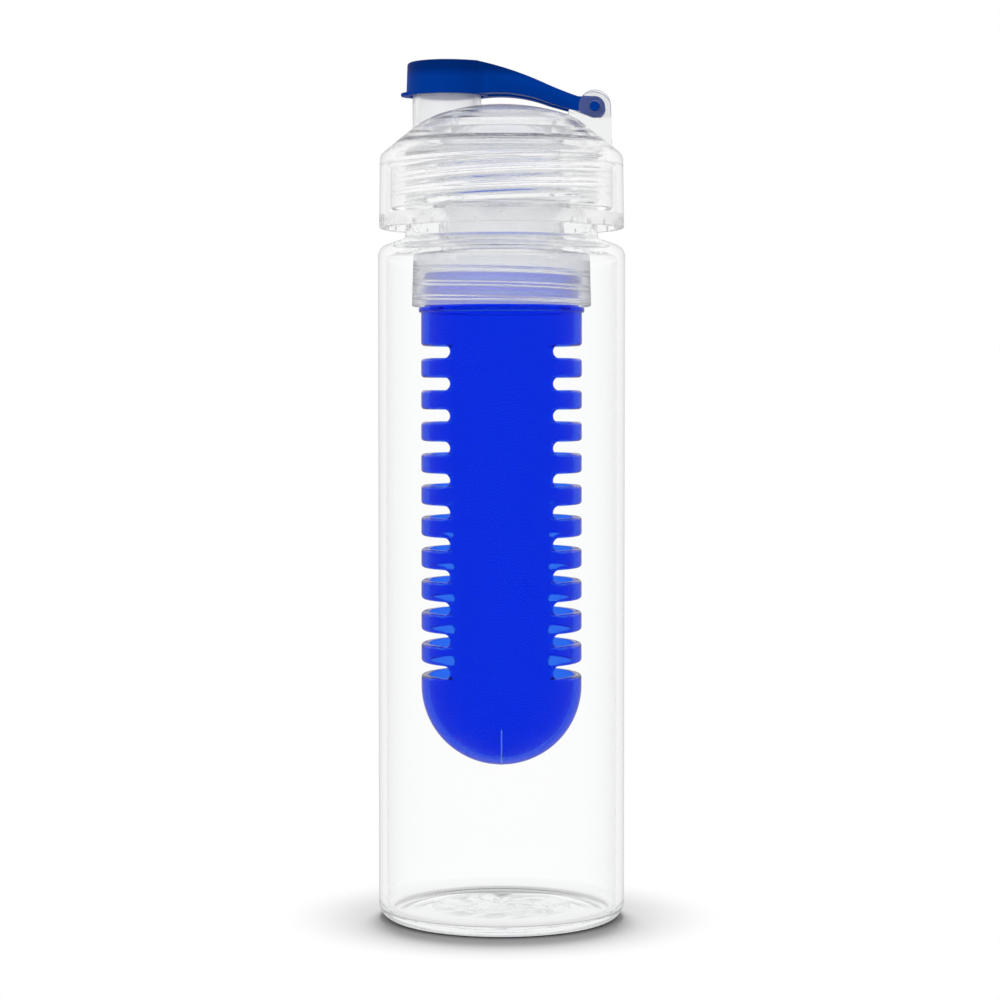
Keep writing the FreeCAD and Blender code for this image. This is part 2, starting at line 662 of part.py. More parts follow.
def make_infuser_basket():
    body = new_body("infuser_basket")
    bowl = f"({BASKET_FOOT} + {BASKET_RADIUS})"
    profile = sketch_on(body, "XZ_Plane", "basket_profile")
    outline(profile, [
        ("0", BASKET_FOOT),
        (BASKET_RADIUS, bowl, BASKET_RADIUS),
        (BASKET_RADIUS, f"{BEAD_TOP} - bead_height"),
        (BEAD_RADIUS, f"{BEAD_TOP} - bead_height"),
        (BEAD_RADIUS, BEAD_TOP),
        (BASKET_NECK_RADIUS, BEAD_TOP),
        (BASKET_NECK_RADIUS, BASKET_TOP),
        (BASKET_BORE, BASKET_TOP),
        (BASKET_BORE, bowl),
        ("0", f"{BASKET_FOOT} + basket_wall", f"-{BASKET_BORE}"),
    ])
    shell = turn(body, "Revolution", "basket_shell", profile)
    edges = ring_edges(shell, BEAD_RADIUS, BEAD_TOP)
    edges += ring_edges(shell, BEAD_RADIUS, f"{BEAD_TOP} - bead_height")
    ease(body, "Fillet", "bead_rounding", shell, edges, Radius="bead_round")
    slot = sketch_on(body, "YZ_Plane", "slot_profile")
    first = f"({BASKET_FOOT} + slot_start)"
    bottom = f"{first} - slot_height / 2"
    top = f"{first} + slot_height / 2"
    straight = f"({SLOT_LENGTH} / 2 - slot_height / 2)"
    outline(slot, [
        (straight, bottom),
        (f"{SLOT_LENGTH} / 2", first, "slot_height / 2"),
        (straight, top, "slot_height / 2"),
        (f"-{straight}", top),
        (f"-{SLOT_LENGTH} / 2", first, "slot_height / 2"),
        (f"-{straight}", bottom, "slot_height / 2"),
    ])
    cut = add(body, "Pocket", "slot", slot, SideType="Symmetric", Length=f"2 * {BASKET_RADIUS} + cut_overrun")
    ladder = body.newObject("PartDesign::LinearPattern", "slots")
    ladder.Originals = [cut]
    ladder.Direction = (slot, ["V_Axis"])
    ladder.setExpression("Length", bound("slot_pitch * (slot_count - 1)"))
    ladder.setExpression("Occurrences", bound("slot_count"))
    body.Tip = ladder
    doc.recompute()
    return body


pieces = [
    make_bottle_body(),
    make_neck_seal(),
    make_screw_cap(),
    make_flip_lid(),
    make_lid_seal(),
    make_hinge_pin(),
    make_collar(),
    make_infuser_basket(),
]
doc.recompute()

for item in doc.Objects:
    if "Invalid" in item.State or "Error" in item.State:
        raise RuntimeError(f"{item.Label} failed: {item.State}")
for piece in pieces:
    if piece.Shape.isNull() or not piece.Shape.isValid() or len(piece.Shape.Solids) != 1:
        raise RuntimeError(f"{piece.Label} is not one sound solid")

os.makedirs("parts", exist_ok=True)
for piece in pieces:
    piece.Shape.exportStep(f"parts/{piece.Label}.step")
    box = piece.Shape.BoundBox
    print(f"{piece.Label}: {piece.Shape.Volume:.0f} mm3, z {box.ZMin:.2f} to {box.ZMax:.2f}")
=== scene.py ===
import json
import math

import bmesh
import bpy
from mathutils import Matrix, Vector

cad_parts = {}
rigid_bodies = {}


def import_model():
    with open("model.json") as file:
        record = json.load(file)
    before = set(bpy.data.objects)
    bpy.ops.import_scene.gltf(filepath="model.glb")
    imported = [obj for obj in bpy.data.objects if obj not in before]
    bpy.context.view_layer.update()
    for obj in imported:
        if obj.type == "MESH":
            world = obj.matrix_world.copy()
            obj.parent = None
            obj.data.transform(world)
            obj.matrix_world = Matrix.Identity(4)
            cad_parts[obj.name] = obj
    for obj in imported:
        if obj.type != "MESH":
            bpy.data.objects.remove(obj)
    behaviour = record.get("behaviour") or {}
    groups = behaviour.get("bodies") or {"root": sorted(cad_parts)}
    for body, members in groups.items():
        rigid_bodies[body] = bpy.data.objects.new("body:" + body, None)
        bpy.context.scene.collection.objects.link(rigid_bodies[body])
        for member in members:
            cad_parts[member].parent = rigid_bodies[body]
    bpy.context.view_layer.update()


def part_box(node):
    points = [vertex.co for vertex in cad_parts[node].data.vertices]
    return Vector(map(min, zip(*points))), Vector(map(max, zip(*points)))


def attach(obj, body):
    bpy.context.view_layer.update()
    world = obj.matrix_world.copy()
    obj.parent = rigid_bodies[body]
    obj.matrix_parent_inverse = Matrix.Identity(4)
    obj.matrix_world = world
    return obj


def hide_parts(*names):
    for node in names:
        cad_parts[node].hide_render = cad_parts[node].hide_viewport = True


# An infuser water bottle. Sizes are in millimetres and meshes in metres. +Z is up, the spout is on -X,
# the lid's hinge is on +X, and the camera looks along +Y.

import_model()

MM = 0.001
EIGHTH_TURN = math.pi / 4
QUARTER_TURN = math.pi / 2
HALF_TURN = math.pi
FULL_TURN = 2 * math.pi


def reach(node):
    """Half the width of a node and its lowest and highest point."""
    low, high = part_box(node)
    return (high.y - low.y) / 2 / MM, low.z / MM, high.z / MM


# Sizes read from the model's parts
BODY_RADIUS, _, NECK_TOP = reach("bottle_body")
COLLAR_RADIUS, COLLAR_FOOT, COLLAR_TOP = reach("collar")
BEAD_RADIUS, BASKET_FOOT, BASKET_TOP = reach("infuser_basket")
CAP_RADIUS, TUBE_FOOT, SPOUT_TOP = reach("screw_cap")
PAD_RADIUS, PLUG_FOOT, PAD_TOP = reach("lid_seal")
GASKET_RADIUS, _, SEAT = reach("neck_seal")
PIN_HALF_LENGTH, PIN_FOOT, PIN_HEAD = reach("hinge_pin")
LID_CREST = reach("flip_lid")[2]
PIN_RADIUS = (PIN_HEAD - PIN_FOOT) / 2
HINGE_HEIGHT = (PIN_HEAD + PIN_FOOT) / 2
HINGE_X = (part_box("hinge_pin")[0].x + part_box("hinge_pin")[1].x) / 2 / MM
SPOUT_X = (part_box("lid_seal")[0].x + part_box("lid_seal")[1].x) / 2 / MM

# Roundings that several pieces share
FINE_EDGE = 0.2
SEAL_EDGE = 0.25
EDGE = 0.3
SOFT_EDGE = 0.4
ROUND_EDGE = 0.5
WIDE_EDGE = 0.6

# Bottle
BODY_WALL = 2.2
BASE_ROUND = 4.5
BASE_THICKNESS = 3.0
BASE_SAG = 0.1
RING_INSET = 6.5
PUNT_RISE = 1.4
HUB_RADIUS = 20.5
HUB_STEP = 0.5
HUB_ROW = 1.0
SHOULDER_HEIGHT = 201.5
SHOULDER_FALL = 2.9
SHOULDER_ROUND = 3.5
INNER_SHOULDER_ROUND = 2.4
NECK_RADIUS = 28.5
NECK_WALL = 1.6
NECK_ROOT = 0.8
NECK_BORE = NECK_RADIUS - NECK_WALL
SOFT_NECK_FOOT = SHOULDER_HEIGHT + 6.0
SOFT_NECK_RADIUS = NECK_RADIUS - 0.1
FLOW_DEPTH = 0.35
FLOW_SCALE = 4.0
FLOW_FADE = 4.0
STREAK_DETAIL = 4.0

# Cap
CAP_RIM = SHOULDER_HEIGHT + 2.9
CAP_WALL = 1.8
CAP_BORE = CAP_RADIUS - CAP_WALL
CAP_CORNER = CAP_RIM + 21.4
CORNER_RADIUS = CAP_RADIUS - 0.3
CAP_ROUND = 3.0
DOME_EDGE_RADIUS = 22.5
DOME_EDGE = CAP_CORNER + 10.9
APEX = DOME_EDGE + 4.1
DOME_RADIUS = (DOME_EDGE_RADIUS ** 2 + (APEX - DOME_EDGE) ** 2) / (2 * (APEX - DOME_EDGE))
DOME_BLEND = 2.9
BLEND_STEPS = 8
CROWN_DROP = 2.4
CROWN_RADII = (19.6, 17.5, 15, 12.5, 10, 7.5, 5, 2.5, 0)
RADII_IN_TUBE = (0, 2.5, 5, 7.5, 10, 12.5)
RADII_BESIDE_TUBE = (18, 19.5, 21, DOME_EDGE_RADIUS)
CONE_SLOPE = (DOME_EDGE - CAP_CORNER) / (CORNER_RADIUS - DOME_EDGE_RADIUS)
SKIRT_RADIUS = 31.0
SKIRT_WALL = 1.8
SKIRT_FOOT = CAP_RIM + 5.6
SKIRT_GAP_TOP = CAP_RIM + 18.6
SEAT_INNER = SKIRT_RADIUS - 5.4
TUBE_RADIUS = 16.9
TUBE_BORE = 15.4
SNAP_RADIUS = TUBE_RADIUS + 0.9
SNAP_START = TUBE_FOOT + 1.2
SNAP_HEIGHT = 0.8
SNAP_GAP = 0.3
SNAP_ROOT = 0.15
STOP_RADIUS = 18.5
STOP_FOOT = COLLAR_TOP + 0.3
STOP_TOP = STOP_FOOT + 1.5
SPOUT_RADIUS = 10.15
SPOUT_BORE = 8.25
SPOUT_BORE_FOOT = APEX - 12.0
SPOUT_LIP = 0.7
RIM_BAND = CAP_RIM + 4.0
RIM_BAND_RADIUS = CAP_RADIUS - 0.06
NOTCH_COUNT = 32
NOTCH_SIZE = (1.8, 1.1, 3.0)

# Hinge bracket on the cap
EAR_RADIUS = 4.7
EAR_TOE = math.radians(20)
BRACKET_HALF_WIDTH = PIN_HALF_LENGTH
BRACKET_FRONT = HINGE_X - 7.65
BRACKET_BACK = HINGE_X + 5.1
BRACKET_FRONT_FOOT = 236.5
BRACKET_BACK_FOOT = 227.4
HINGE_GAP = 0.35
PIN_ROOM = 0.06
PIN_CHAMFER = 0.25
EAR_BEVEL = 0.35

# Lid
LID_RADIUS = 12.0
LID_BORE = 10.9
LID_FOOT = SPOUT_TOP - 4.8
LID_TOP = LID_FOOT + 9.8
LID_ROOF = 2.0
LID_DRAFT = 0.35
LID_ROUND = 0.8
BUTTON_RADIUS = 3.0
BUTTON_ROOT = 0.1
BUTTON_EDGE = 0.12
THUMB_RADIUS = 6.0
THUMB_REACH = 1.6
THUMB_THICKNESS = 1.0
THUMB_FOOT_EDGE = 0.25
THUMB_TOP_EDGE = 0.35
ARM_HALF_WIDTH = 8.5
KNUCKLE_HALF_WIDTH = 4.5
KNUCKLE_RADIUS = 3.0
KNUCKLE_CHAMFER = 0.3
KNUCKLE_TOE = math.radians(30)
ARM_ROOT = SPOUT_X + 8.8
ARM_BEND = (HINGE_X - 14.8, HINGE_HEIGHT + 7.0)
ARM_NECK_X = HINGE_X - 4.8
ARM_NECK_RISE = 3.2
ARM_NECK_DROP = 1.4
ARM_NECK_FOOT = HINGE_HEIGHT - ARM_NECK_DROP
ARM_BELLY = (HINGE_X - 13.3, HINGE_HEIGHT + 1.1)
ARM_CREST_RADIUS = 95.0
ARM_SWEEP_RADIUS = 110.0
ARM_BELLY_RADIUS = 40.0
ARM_BEVEL = 0.45
ARM_HOLLOW = 3.0
ARM_INSET = 0.01
ARM_STEPS = 72
ARM_FALL = (ARM_BELLY[1] - HINGE_HEIGHT + ARM_NECK_DROP) / (ARM_NECK_X - ARM_BELLY[0])
ARM_FOOT_TURNS = (0, 0.33, 0.67, 1)
ARM_SIDE_SHARES = (0.35, 0.65)
ARM_TOP_TURNS = (0, 0.2, 0.4, 0.6, 0.8, 1)
CHANNEL_HALF_WIDTH = 3.0
CHANNEL_START = SPOUT_X + LID_RADIUS
CHANNEL_END = HINGE_X - 6.8
CHANNEL_FOOT = HINGE_HEIGHT - 5.0
CHANNEL_RISES = (6.3, 3.2, 2.4)
PLUG_RADIUS = SPOUT_BORE - 0.35
PLUG_TIP_RADIUS = PLUG_RADIUS - 0.5
PLUG_HOLLOW = PLUG_RADIUS - 1.8
PAD_FOOT = SPOUT_TOP + 0.3

# Collar and basket
COLLAR_WALL = 1.7
COLLAR_SHOULDER = COLLAR_FOOT + 16.9
COLLAR_TOP_RADIUS = COLLAR_RADIUS - 0.5
COLLAR_INNER_TOP = COLLAR_TOP_RADIUS - COLLAR_WALL
COLLAR_NECK_FOOT = COLLAR_SHOULDER + 2.4
COLLAR_BORE = TUBE_RADIUS + 0.3
COLLAR_CEILING = COLLAR_NECK_FOOT - 1.6
COLLAR_ROUND = 1.0
BASKET_RADIUS = BEAD_RADIUS - 0.7
BASKET_WALL = 2.2
BASKET_BORE = BASKET_RADIUS - BASKET_WALL
BASKET_NECK_RADIUS = 22.9
BOWL_CENTRE = BASKET_FOOT + BASKET_RADIUS
BOWL_STEPS = 24
BEAD_TOP = COLLAR_FOOT - 0.3
BEAD_FOOT = BEAD_TOP - 1.5
SLOT_COUNT = 11
SLOT_PITCH = 9.35
SLOT_HEIGHT = 3.7
SLOT_LENGTH = 36.0
SLOT_START = BASKET_FOOT + 28.9
SLOT_ROUND = 1.0
SLOT_INNER_ROUND = 0.5
SLOTS_LOW = SLOT_START - SLOT_PITCH / 2
SLOTS_HIGH = SLOTS_LOW + SLOT_COUNT * SLOT_PITCH
MOULD_LINE_RISE = 0.2
MOULD_LINE_HALF_WIDTH = 0.16
MOULD_LINE_REACH = math.radians(62)
MOULD_LINE_END = math.radians(14)
CELL_REACH = math.radians(64)
CELL_ENDS = 4
CELL_RUN = 28
CELL_RISE = 8
CELL_ACROSS = 2 * CELL_ENDS + CELL_RUN
CELL_SHARES = (0, 0.35, 0.7)
LIP_STEPS = 5
STRIP_STEPS = 14

# Threads: a quick two-start one on the neck, a left-handed one on the basket
CAP_THREAD = {"Spacing": 4.3, "Starts": 2, "Hand": 1, "Crest": 0.4, "Flank": 1.3, "Fade": 1.6}
CAP_THREAD_HEIGHT = 1.3
NECK_THREAD_ENDS = (SHOULDER_HEIGHT + 9.0, NECK_TOP - 2.6)
SKIRT_THREAD_ENDS = (SKIRT_FOOT + 1.2 + CAP_THREAD["Spacing"] / 2, SEAT - 3.2)
BASKET_THREAD = {"Spacing": 4.2, "Starts": 1, "Hand": -1, "Crest": 0.4, "Flank": 0.7, "Fade": 1.0}
BASKET_THREAD_HEIGHT = 0.9
BASKET_THREAD_ENDS = (BEAD_TOP + 0.9 + BASKET_THREAD["Spacing"] / 2, BASKET_TOP - 0.6)
COLLAR_THREAD_ENDS = (COLLAR_FOOT + 0.6, COLLAR_FOOT + 12.4)
COLLAR_THREAD_RADIUS = COLLAR_INNER_TOP + 0.3
ON_WALL = 0.05
ON_TAPERED_WALL = 0.4
THREAD_ROW = 0.12

# How finely curves are cut
SEGMENTS = 160
SMALL_SEGMENTS = 96
PIN_SEGMENTS = 48
ARC_POINTS = 24
SHORT_ARC_POINTS = 6
ARC_STEP = math.radians(9)
FEWEST_STEPS = 3
GUARD = 0.3
SHARP_ANGLE = math.radians(38)
LIMIT_ANGLE = math.radians(30)


# Node trees

class Nodes:
    """Adds nodes to a tree, linking an input where its value is a socket and setting it where it isn't."""

    def __init__(self, tree):
        self.tree = tree

    def add(self, kind, settings=None, **inputs):
        node = self.tree.nodes.new(kind)
        for name, value in (settings or {}).items():
            setattr(node, name, value)
        for name, value in inputs.items():
            self.feed(node.inputs[name.replace("_", " ")], value)
        return node

    def feed(self, socket, value):
        if isinstance(value, bpy.types.NodeSocket):
            self.tree.links.new(value, socket)
        else:
            socket.default_value = value

    def math(self, operation, *values, clamp=False):
        node = self.add("ShaderNodeMath", {"operation": operation, "use_clamp": clamp})
        for socket, value in zip(node.inputs, values):
            self.feed(socket, value)
        return node.outputs[0]

    def times(self, value, other, clamp=False):
        return self.math("MULTIPLY", value, other, clamp=clamp)

    def minus(self, value, other):
        return self.math("SUBTRACT", value, other)

    def over(self, value, other, clamp=False):
        return self.math("DIVIDE", value, other, clamp=clamp)

    def ramp(self, value, smooth=False, **ends):
        """Maps a value from one range to another and keeps it within that."""
        settings = {"interpolation_type": "SMOOTHSTEP" if smooth else "LINEAR"}
        return self.add("ShaderNodeMapRange", settings, Value=value, **ends).outputs[0]

    def join(self, **parts):
        return self.add("ShaderNodeCombineXYZ", **parts).outputs[0]

    def split(self, vector):
        return self.add("ShaderNodeSeparateXYZ", Vector=vector).outputs

    def vertex(self):
        """The three parts of a vertex's place, in a geometry tree."""
        return self.split(self.add("GeometryNodeInputPosition").outputs[0])

    def here(self):
        """The shaded point on the piece's own axes, in a shader tree."""
        return self.add("ShaderNodeTexCoord").outputs["Object"]

    def length(self, vector):
        return self.add("ShaderNodeVectorMath", {"operation": "LENGTH"}, Vector=vector).outputs["Value"]

    def away(self, part):
        """Distance from the upright axis."""
        squares = [self.math("POWER", part[axis], 2.0) for axis in "XY"]
        return self.math("SQRT", self.math("ADD", *squares))

    def around(self, part):
        """Angle about the upright axis."""
        return self.math("ARCTAN2", part["Y"], part["X"])

    def noise(self, place, scale, detail=2.0):
        return self.add("ShaderNodeTexNoise", Vector=place, Scale=scale, Detail=detail).outputs[0]

    def swirl(self, part, share, scale):
        """Noise in streaks that run out from the axis and lean more the further out they are."""
        spin = self.math("ADD", self.around(part), share)
        wound = self.join(X=self.math("COSINE", spin), Y=self.math("SINE", spin), Z=share)
        return self.noise(wound, scale, STREAK_DETAIL)

    def blend(self, first, second, share):
        mixed = self.add("ShaderNodeMixShader", Fac=share)
        self.feed(mixed.inputs[1], first)
        self.feed(mixed.inputs[2], second)
        return mixed.outputs[0]


def empty_nodes(owner):
    """The node tree of a material or a world, cleared."""
    owner.use_nodes = True
    owner.node_tree.nodes.clear()
    return Nodes(owner.node_tree)


def geometry_tree(name, sizes):
    """An empty geometry tree with a mesh input, a material input and one input for each size."""
    tree = bpy.data.node_groups.new(name, "GeometryNodeTree")
    tree.interface.new_socket("Geometry", in_out="INPUT", socket_type="NodeSocketGeometry")
    tree.interface.new_socket("Geometry", in_out="OUTPUT", socket_type="NodeSocketGeometry")
    tree.interface.new_socket("Material", in_out="INPUT", socket_type="NodeSocketMaterial")
    for size in sizes:
        tree.interface.new_socket(size, in_out="INPUT", socket_type="NodeSocketFloat")
    nodes = Nodes(tree)
    return nodes, nodes.add("NodeGroupInput").outputs


def close_tree(nodes, geometry, material):
    """Ends a geometry tree in one real mesh with its material."""
    realized = nodes.add("GeometryNodeRealizeInstances", Geometry=geometry)
    painted = nodes.add("GeometryNodeSetMaterial", Geometry=realized.outputs[0], Material=material)
    nodes.add("NodeGroupOutput", Geometry=painted.outputs[0])
    return nodes.tree


def close_moved(nodes, size, move):
    """Ends a geometry tree that only moves vertices."""
    moved = nodes.add("GeometryNodeSetPosition", Geometry=size["Geometry"], Offset=move)
    return close_tree(nodes, moved.outputs[0], size["Material"])


def thread_tree():
    """Raises a helical ridge on the part of a round wall between two heights."""
    nodes, size = geometry_tree("helical_thread", [
        "Surface", "Tolerance", "Foot", "Top", "Height",
        "Spacing", "Starts", "Hand", "Crest", "Flank", "Fade",
    ])
    place = nodes.vertex()
    radius = nodes.away(place)
    height = nodes.minus(place["Z"], size["Foot"])
    starts = nodes.times(size["Starts"], size["Hand"])
    turns = nodes.over(nodes.times(nodes.around(place), starts), FULL_TURN)
    ladder = nodes.minus(nodes.over(height, size["Spacing"]), turns)
    from_crest = nodes.math("ABSOLUTE", nodes.minus(ladder, nodes.math("ROUND", ladder)))
    away = nodes.times(from_crest, size["Spacing"])
    edge = nodes.math("ADD", nodes.over(size["Crest"], 2.0), size["Flank"])
    ridge = nodes.over(nodes.minus(edge, away), size["Flank"], clamp=True)
    start = nodes.over(height, size["Fade"], clamp=True)
    stop = nodes.over(nodes.minus(size["Top"], place["Z"]), size["Fade"], clamp=True)
    off_wall = nodes.math("ABSOLUTE", nodes.minus(radius, size["Surface"]))
    on_wall = nodes.math("LESS_THAN", off_wall, size["Tolerance"])
    within = nodes.times(on_wall, nodes.times(start, stop))
    rise = nodes.times(nodes.times(nodes.ramp(ridge, smooth=True), size["Height"]), within)
    outward = nodes.join(X=nodes.over(place["X"], radius), Y=nodes.over(place["Y"], radius))
    move = nodes.add("ShaderNodeVectorMath", {"operation": "SCALE"}, Vector=outward, Scale=rise)
    return close_moved(nodes, size, move.outputs[0])


def slot_tree():
    """Repeats one slotted patch of wall up both sides of a basket."""
    nodes, size = geometry_tree("ladder_of_slots", ["Count", "Pitch", "Start"])
    other = nodes.add("GeometryNodeTransform", Geometry=size["Geometry"], Rotation=(0, 0, HALF_TURN))
    pair = nodes.add("GeometryNodeJoinGeometry")
    for side in (size["Geometry"], other.outputs[0]):
        nodes.feed(pair.inputs[0], side)
    step = nodes.join(Z=size["Pitch"])
    foot = nodes.join(Z=size["Start"])
    ladder = nodes.add("GeometryNodeMeshLine", Count=size["Count"], Start_Location=foot, Offset=step)
    rungs = nodes.add("GeometryNodeInstanceOnPoints", Points=ladder.outputs[0], Instance=pair.outputs[0])
    return close_tree(nodes, rungs.outputs[0], size["Material"])


def flow_tree():
    """Raises faint flow marks on the underside of a base, as plastic leaves them around its gate."""
    nodes, size = geometry_tree("flow_marks", ["Radius", "Foot", "Depth"])
    place = nodes.vertex()
    share = nodes.over(nodes.away(place), size["Radius"])
    off_foot = nodes.math("ABSOLUTE", nodes.minus(place["Z"], size["Foot"]))
    near_foot = nodes.math("LESS_THAN", off_foot, MM / 4)
    inside = nodes.times(nodes.minus(1.0, share), FLOW_FADE, clamp=True)
    streaks = nodes.times(nodes.swirl(place, share, FLOW_SCALE), size["Depth"])
    lift = nodes.times(streaks, nodes.times(near_foot, inside))
    return close_moved(nodes, size, nodes.join(Z=lift))


def notch_tree():
    """Cuts a ring of small notches into a rim."""
    nodes, size = geometry_tree("ring_of_notches", ["Radius", "Height", "Depth", "Width", "Rise"])
    circle = nodes.add("GeometryNodeMeshCircle", Vertices=NOTCH_COUNT, Radius=size["Radius"]).outputs[0]
    level = nodes.join(Z=size["Height"])
    lifted = nodes.add("GeometryNodeTransform", Geometry=circle, Translation=level).outputs[0]
    block_size = nodes.join(X=size["Depth"], Y=size["Width"], Z=size["Rise"])
    block = nodes.add("GeometryNodeMeshCube", Size=block_size).outputs[0]
    facing = nodes.join(Z=nodes.around(nodes.vertex()))
    blocks = nodes.add("GeometryNodeInstanceOnPoints", Points=lifted, Instance=block, Rotation=facing)
    solid = nodes.add("GeometryNodeRealizeInstances", Geometry=blocks.outputs[0])
    notched = nodes.add("GeometryNodeMeshBoolean", {"operation": "DIFFERENCE", "solver": "MANIFOLD"})
    nodes.feed(notched.inputs[0], size["Geometry"])
    nodes.feed(notched.inputs[1], solid.outputs[0])
    return close_tree(nodes, notched.outputs[0], size["Material"])


# Meshes

def corner_bend(spot, before, after, rounding):
    """Points of the rounding at a corner, where before and after point to its neighbours."""
    half = before.angle(after) / 2
    centre = spot + (before + after).normalized() * rounding / math.sin(half)
    start = spot + before * rounding / math.tan(half) - centre
    side = 1 if before.x * after.y - before.y * after.x < 0 else -1
    sweep = HALF_TURN - 2 * half
    steps = max(FEWEST_STEPS, math.ceil(sweep / ARC_STEP))
    turns = [Matrix.Rotation(side * sweep * step / steps, 2) for step in range(steps + 1)]
    return [centre + turn @ start for turn in turns]


def rounded(corners, closed=True):
    """Points of an outline in (radius, height). A corner is (r, z), (r, z, rounding) or (r, z, rounding, row
    spacing), where the spacing divides the straight run that ends at the corner."""
    spots = [Vector(corner[:2]) for corner in corners]
    bends = []
    for place, (spot, corner) in enumerate(zip(spots, corners)):
        before = (spots[place - 1] - spot).normalized()
        after = (spots[(place + 1) % len(spots)] - spot).normalized()
        rounding = corner[2] if len(corner) > 2 else 0
        bends.append(corner_bend(spot, before, after, rounding) if rounding else [spot])
    points = list(bends[0])
    for place in range(1, len(bends) + closed):
        bend = bends[place % len(bends)]
        corner = corners[place % len(bends)]
        run = bend[0] - points[-1]
        if len(corner) > 3:
            rows = math.ceil(run.length / corner[3])
            points += [points[-1] + run * row / rows for row in range(1, rows)]
        elif run.length > 4 * GUARD:
            points += [points[-1] + run.normalized() * GUARD, bend[0] - run.normalized() * GUARD]
        points += bend if place < len(bends) else []
    return [(point.x, point.y) for point in points]


def dome(radius, drop=0.0):
    """Height of the cap's crown at a radius, on its outside or lowered to its underside."""
    if radius > DOME_EDGE_RADIUS:
        return DOME_EDGE - (radius - DOME_EDGE_RADIUS) * CONE_SLOPE - drop
    return APEX - drop - DOME_RADIUS + math.sqrt(DOME_RADIUS ** 2 - radius ** 2)


def piece(name, mesh, *materials):
    """A new object in the scene."""
    item = bpy.data.objects.new(name, mesh)
    bpy.context.scene.collection.objects.link(item)
    for material in materials:
        mesh.materials.append(material)
    return item


def mesh_from(shape, name):
    """A mesh from a bmesh in millimetres, with its faces turned outwards."""
    bmesh.ops.recalc_face_normals(shape, faces=shape.faces)
    shape.transform(Matrix.Scale(MM, 4))
    mesh = bpy.data.meshes.new(name)
    shape.to_mesh(mesh)
    shape.free()
    return mesh


def ring(shape, spot, angles, centre=(0.0, 0.0)):
    """Vertices around an upright axis at a (radius, height), or a single one on the axis."""
    radius, height = spot
    if radius < GUARD * MM:
        return [shape.verts.new((*centre, height))]
    x, y = centre
    return [shape.verts.new((x + radius * math.cos(angle), y + radius * math.sin(angle), height))
            for angle in angles]


def bridge(shape, lower, upper, places=None):
    """Faces between two rings, either of which may be a single vertex, all around or at the given places."""
    count = max(len(lower), len(upper))
    for place in range(count) if places is None else places:
        follow = (place + 1) % count
        corners = [lower[place % len(lower)], lower[follow % len(lower)],
                   upper[follow % len(upper)], upper[place % len(upper)]]
        shape.faces.new(list(dict.fromkeys(corners)))


def full_circle(segments):
    return [FULL_TURN * step / segments for step in range(segments)]


def turned(name, outline, material, segments=SEGMENTS, centre=(0.0, 0.0)):
    """Turns an outline of (radius, height), which is closed or starts and ends on the axis."""
    shape = bmesh.new()
    rings = [ring(shape, spot, full_circle(segments), centre) for spot in outline]
    on_axis = len(rings[0]) == 1
    for place in range(len(rings) - on_axis):
        bridge(shape, rings[place], rings[(place + 1) % len(rings)])
    return piece(name, mesh_from(shape, name), material)


def prism(name, outline, half_width, material):
    """Extends an outline of (x, z) both ways along Y."""
    shape = bmesh.new()
    near = [shape.verts.new((x, -half_width, z)) for x, z in outline]
    far = [shape.verts.new((x, half_width, z)) for x, z in outline]
    shape.faces.new(near)
    shape.faces.new(list(reversed(far)))
    bridge(shape, far, near)
    return piece(name, mesh_from(shape, name), material)


def arc_centre(start, end, radius, left):
    """Centre of the shorter arc between two points, which bends left or right on the way."""
    chord = end - start
    rise = math.sqrt(radius ** 2 - (chord.length / 2) ** 2)
    return (start + end) / 2 + Vector((-chord.y, chord.x)).normalized() * (rise if left else -rise)


def arc_points(start, end, radius, left, steps=ARC_POINTS):
    """Points after start on such an arc."""
    start, end = Vector(start), Vector(end)
    centre = arc_centre(start, end, radius, left)
    # Positive angles turn anticlockwise here, as the outline's own axes do.
    sweep = 2 * math.asin((end - start).length / 2 / radius) * (1 if left else -1)
    turns = [Matrix.Rotation(sweep * step / steps, 2) for step in range(1, steps + 1)]
    return [tuple(centre + turn @ (start - centre)) for turn in turns]


def height_on_arc(x, start, end, radius, left):
    """Height of such an arc at x."""
    centre = arc_centre(Vector(start), Vector(end), radius, left)
    drop = math.sqrt(radius ** 2 - (x - centre.x) ** 2)
    return centre.y - drop if left else centre.y + drop


def settle(item):
    """Replaces a piece's mesh by what its modifiers make of it."""
    bpy.context.view_layer.update()
    result = bpy.data.meshes.new_from_object(item.evaluated_get(bpy.context.evaluated_depsgraph_get()))
    item.modifiers.clear()
    item.data = result
    return item


def grow(item, tree, material, **sizes):
    """Runs a geometry tree on a piece, with lengths in millimetres, and keeps the result."""
    counts = ("Starts", "Hand", "Count")
    modifier = item.modifiers.new(tree.name, "NODES")
    modifier.node_group = tree
    for socket in tree.interface.items_tree:
        if socket.in_out == "INPUT" and socket.name in sizes:
            value = sizes[socket.name]
            modifier[socket.identifier] = float(value) if socket.name in counts else value * MM
        elif socket.name == "Material":
            modifier[socket.identifier] = material
    return settle(item)


def raise_thread(item, material, thread, radius, ends, height, tolerance=ON_WALL):
    """Raises a thread on a round wall, or sinks it for a wall that faces inwards."""
    foot, top = ends
    grow(item, THREAD, material, Surface=radius, Tolerance=tolerance, Foot=foot, Top=top, Height=height,
         **thread)


def carve(item, operation, *tools):
    """Joins or cuts a piece with others, which are used up."""
    for tool in tools:
        modifier = item.modifiers.new(tool.name, "BOOLEAN")
        modifier.operation = operation
        modifier.solver = "MANIFOLD"
        modifier.material_mode = "TRANSFER"
        modifier.object = tool
        settle(item)
        bpy.data.objects.remove(tool)
    return item


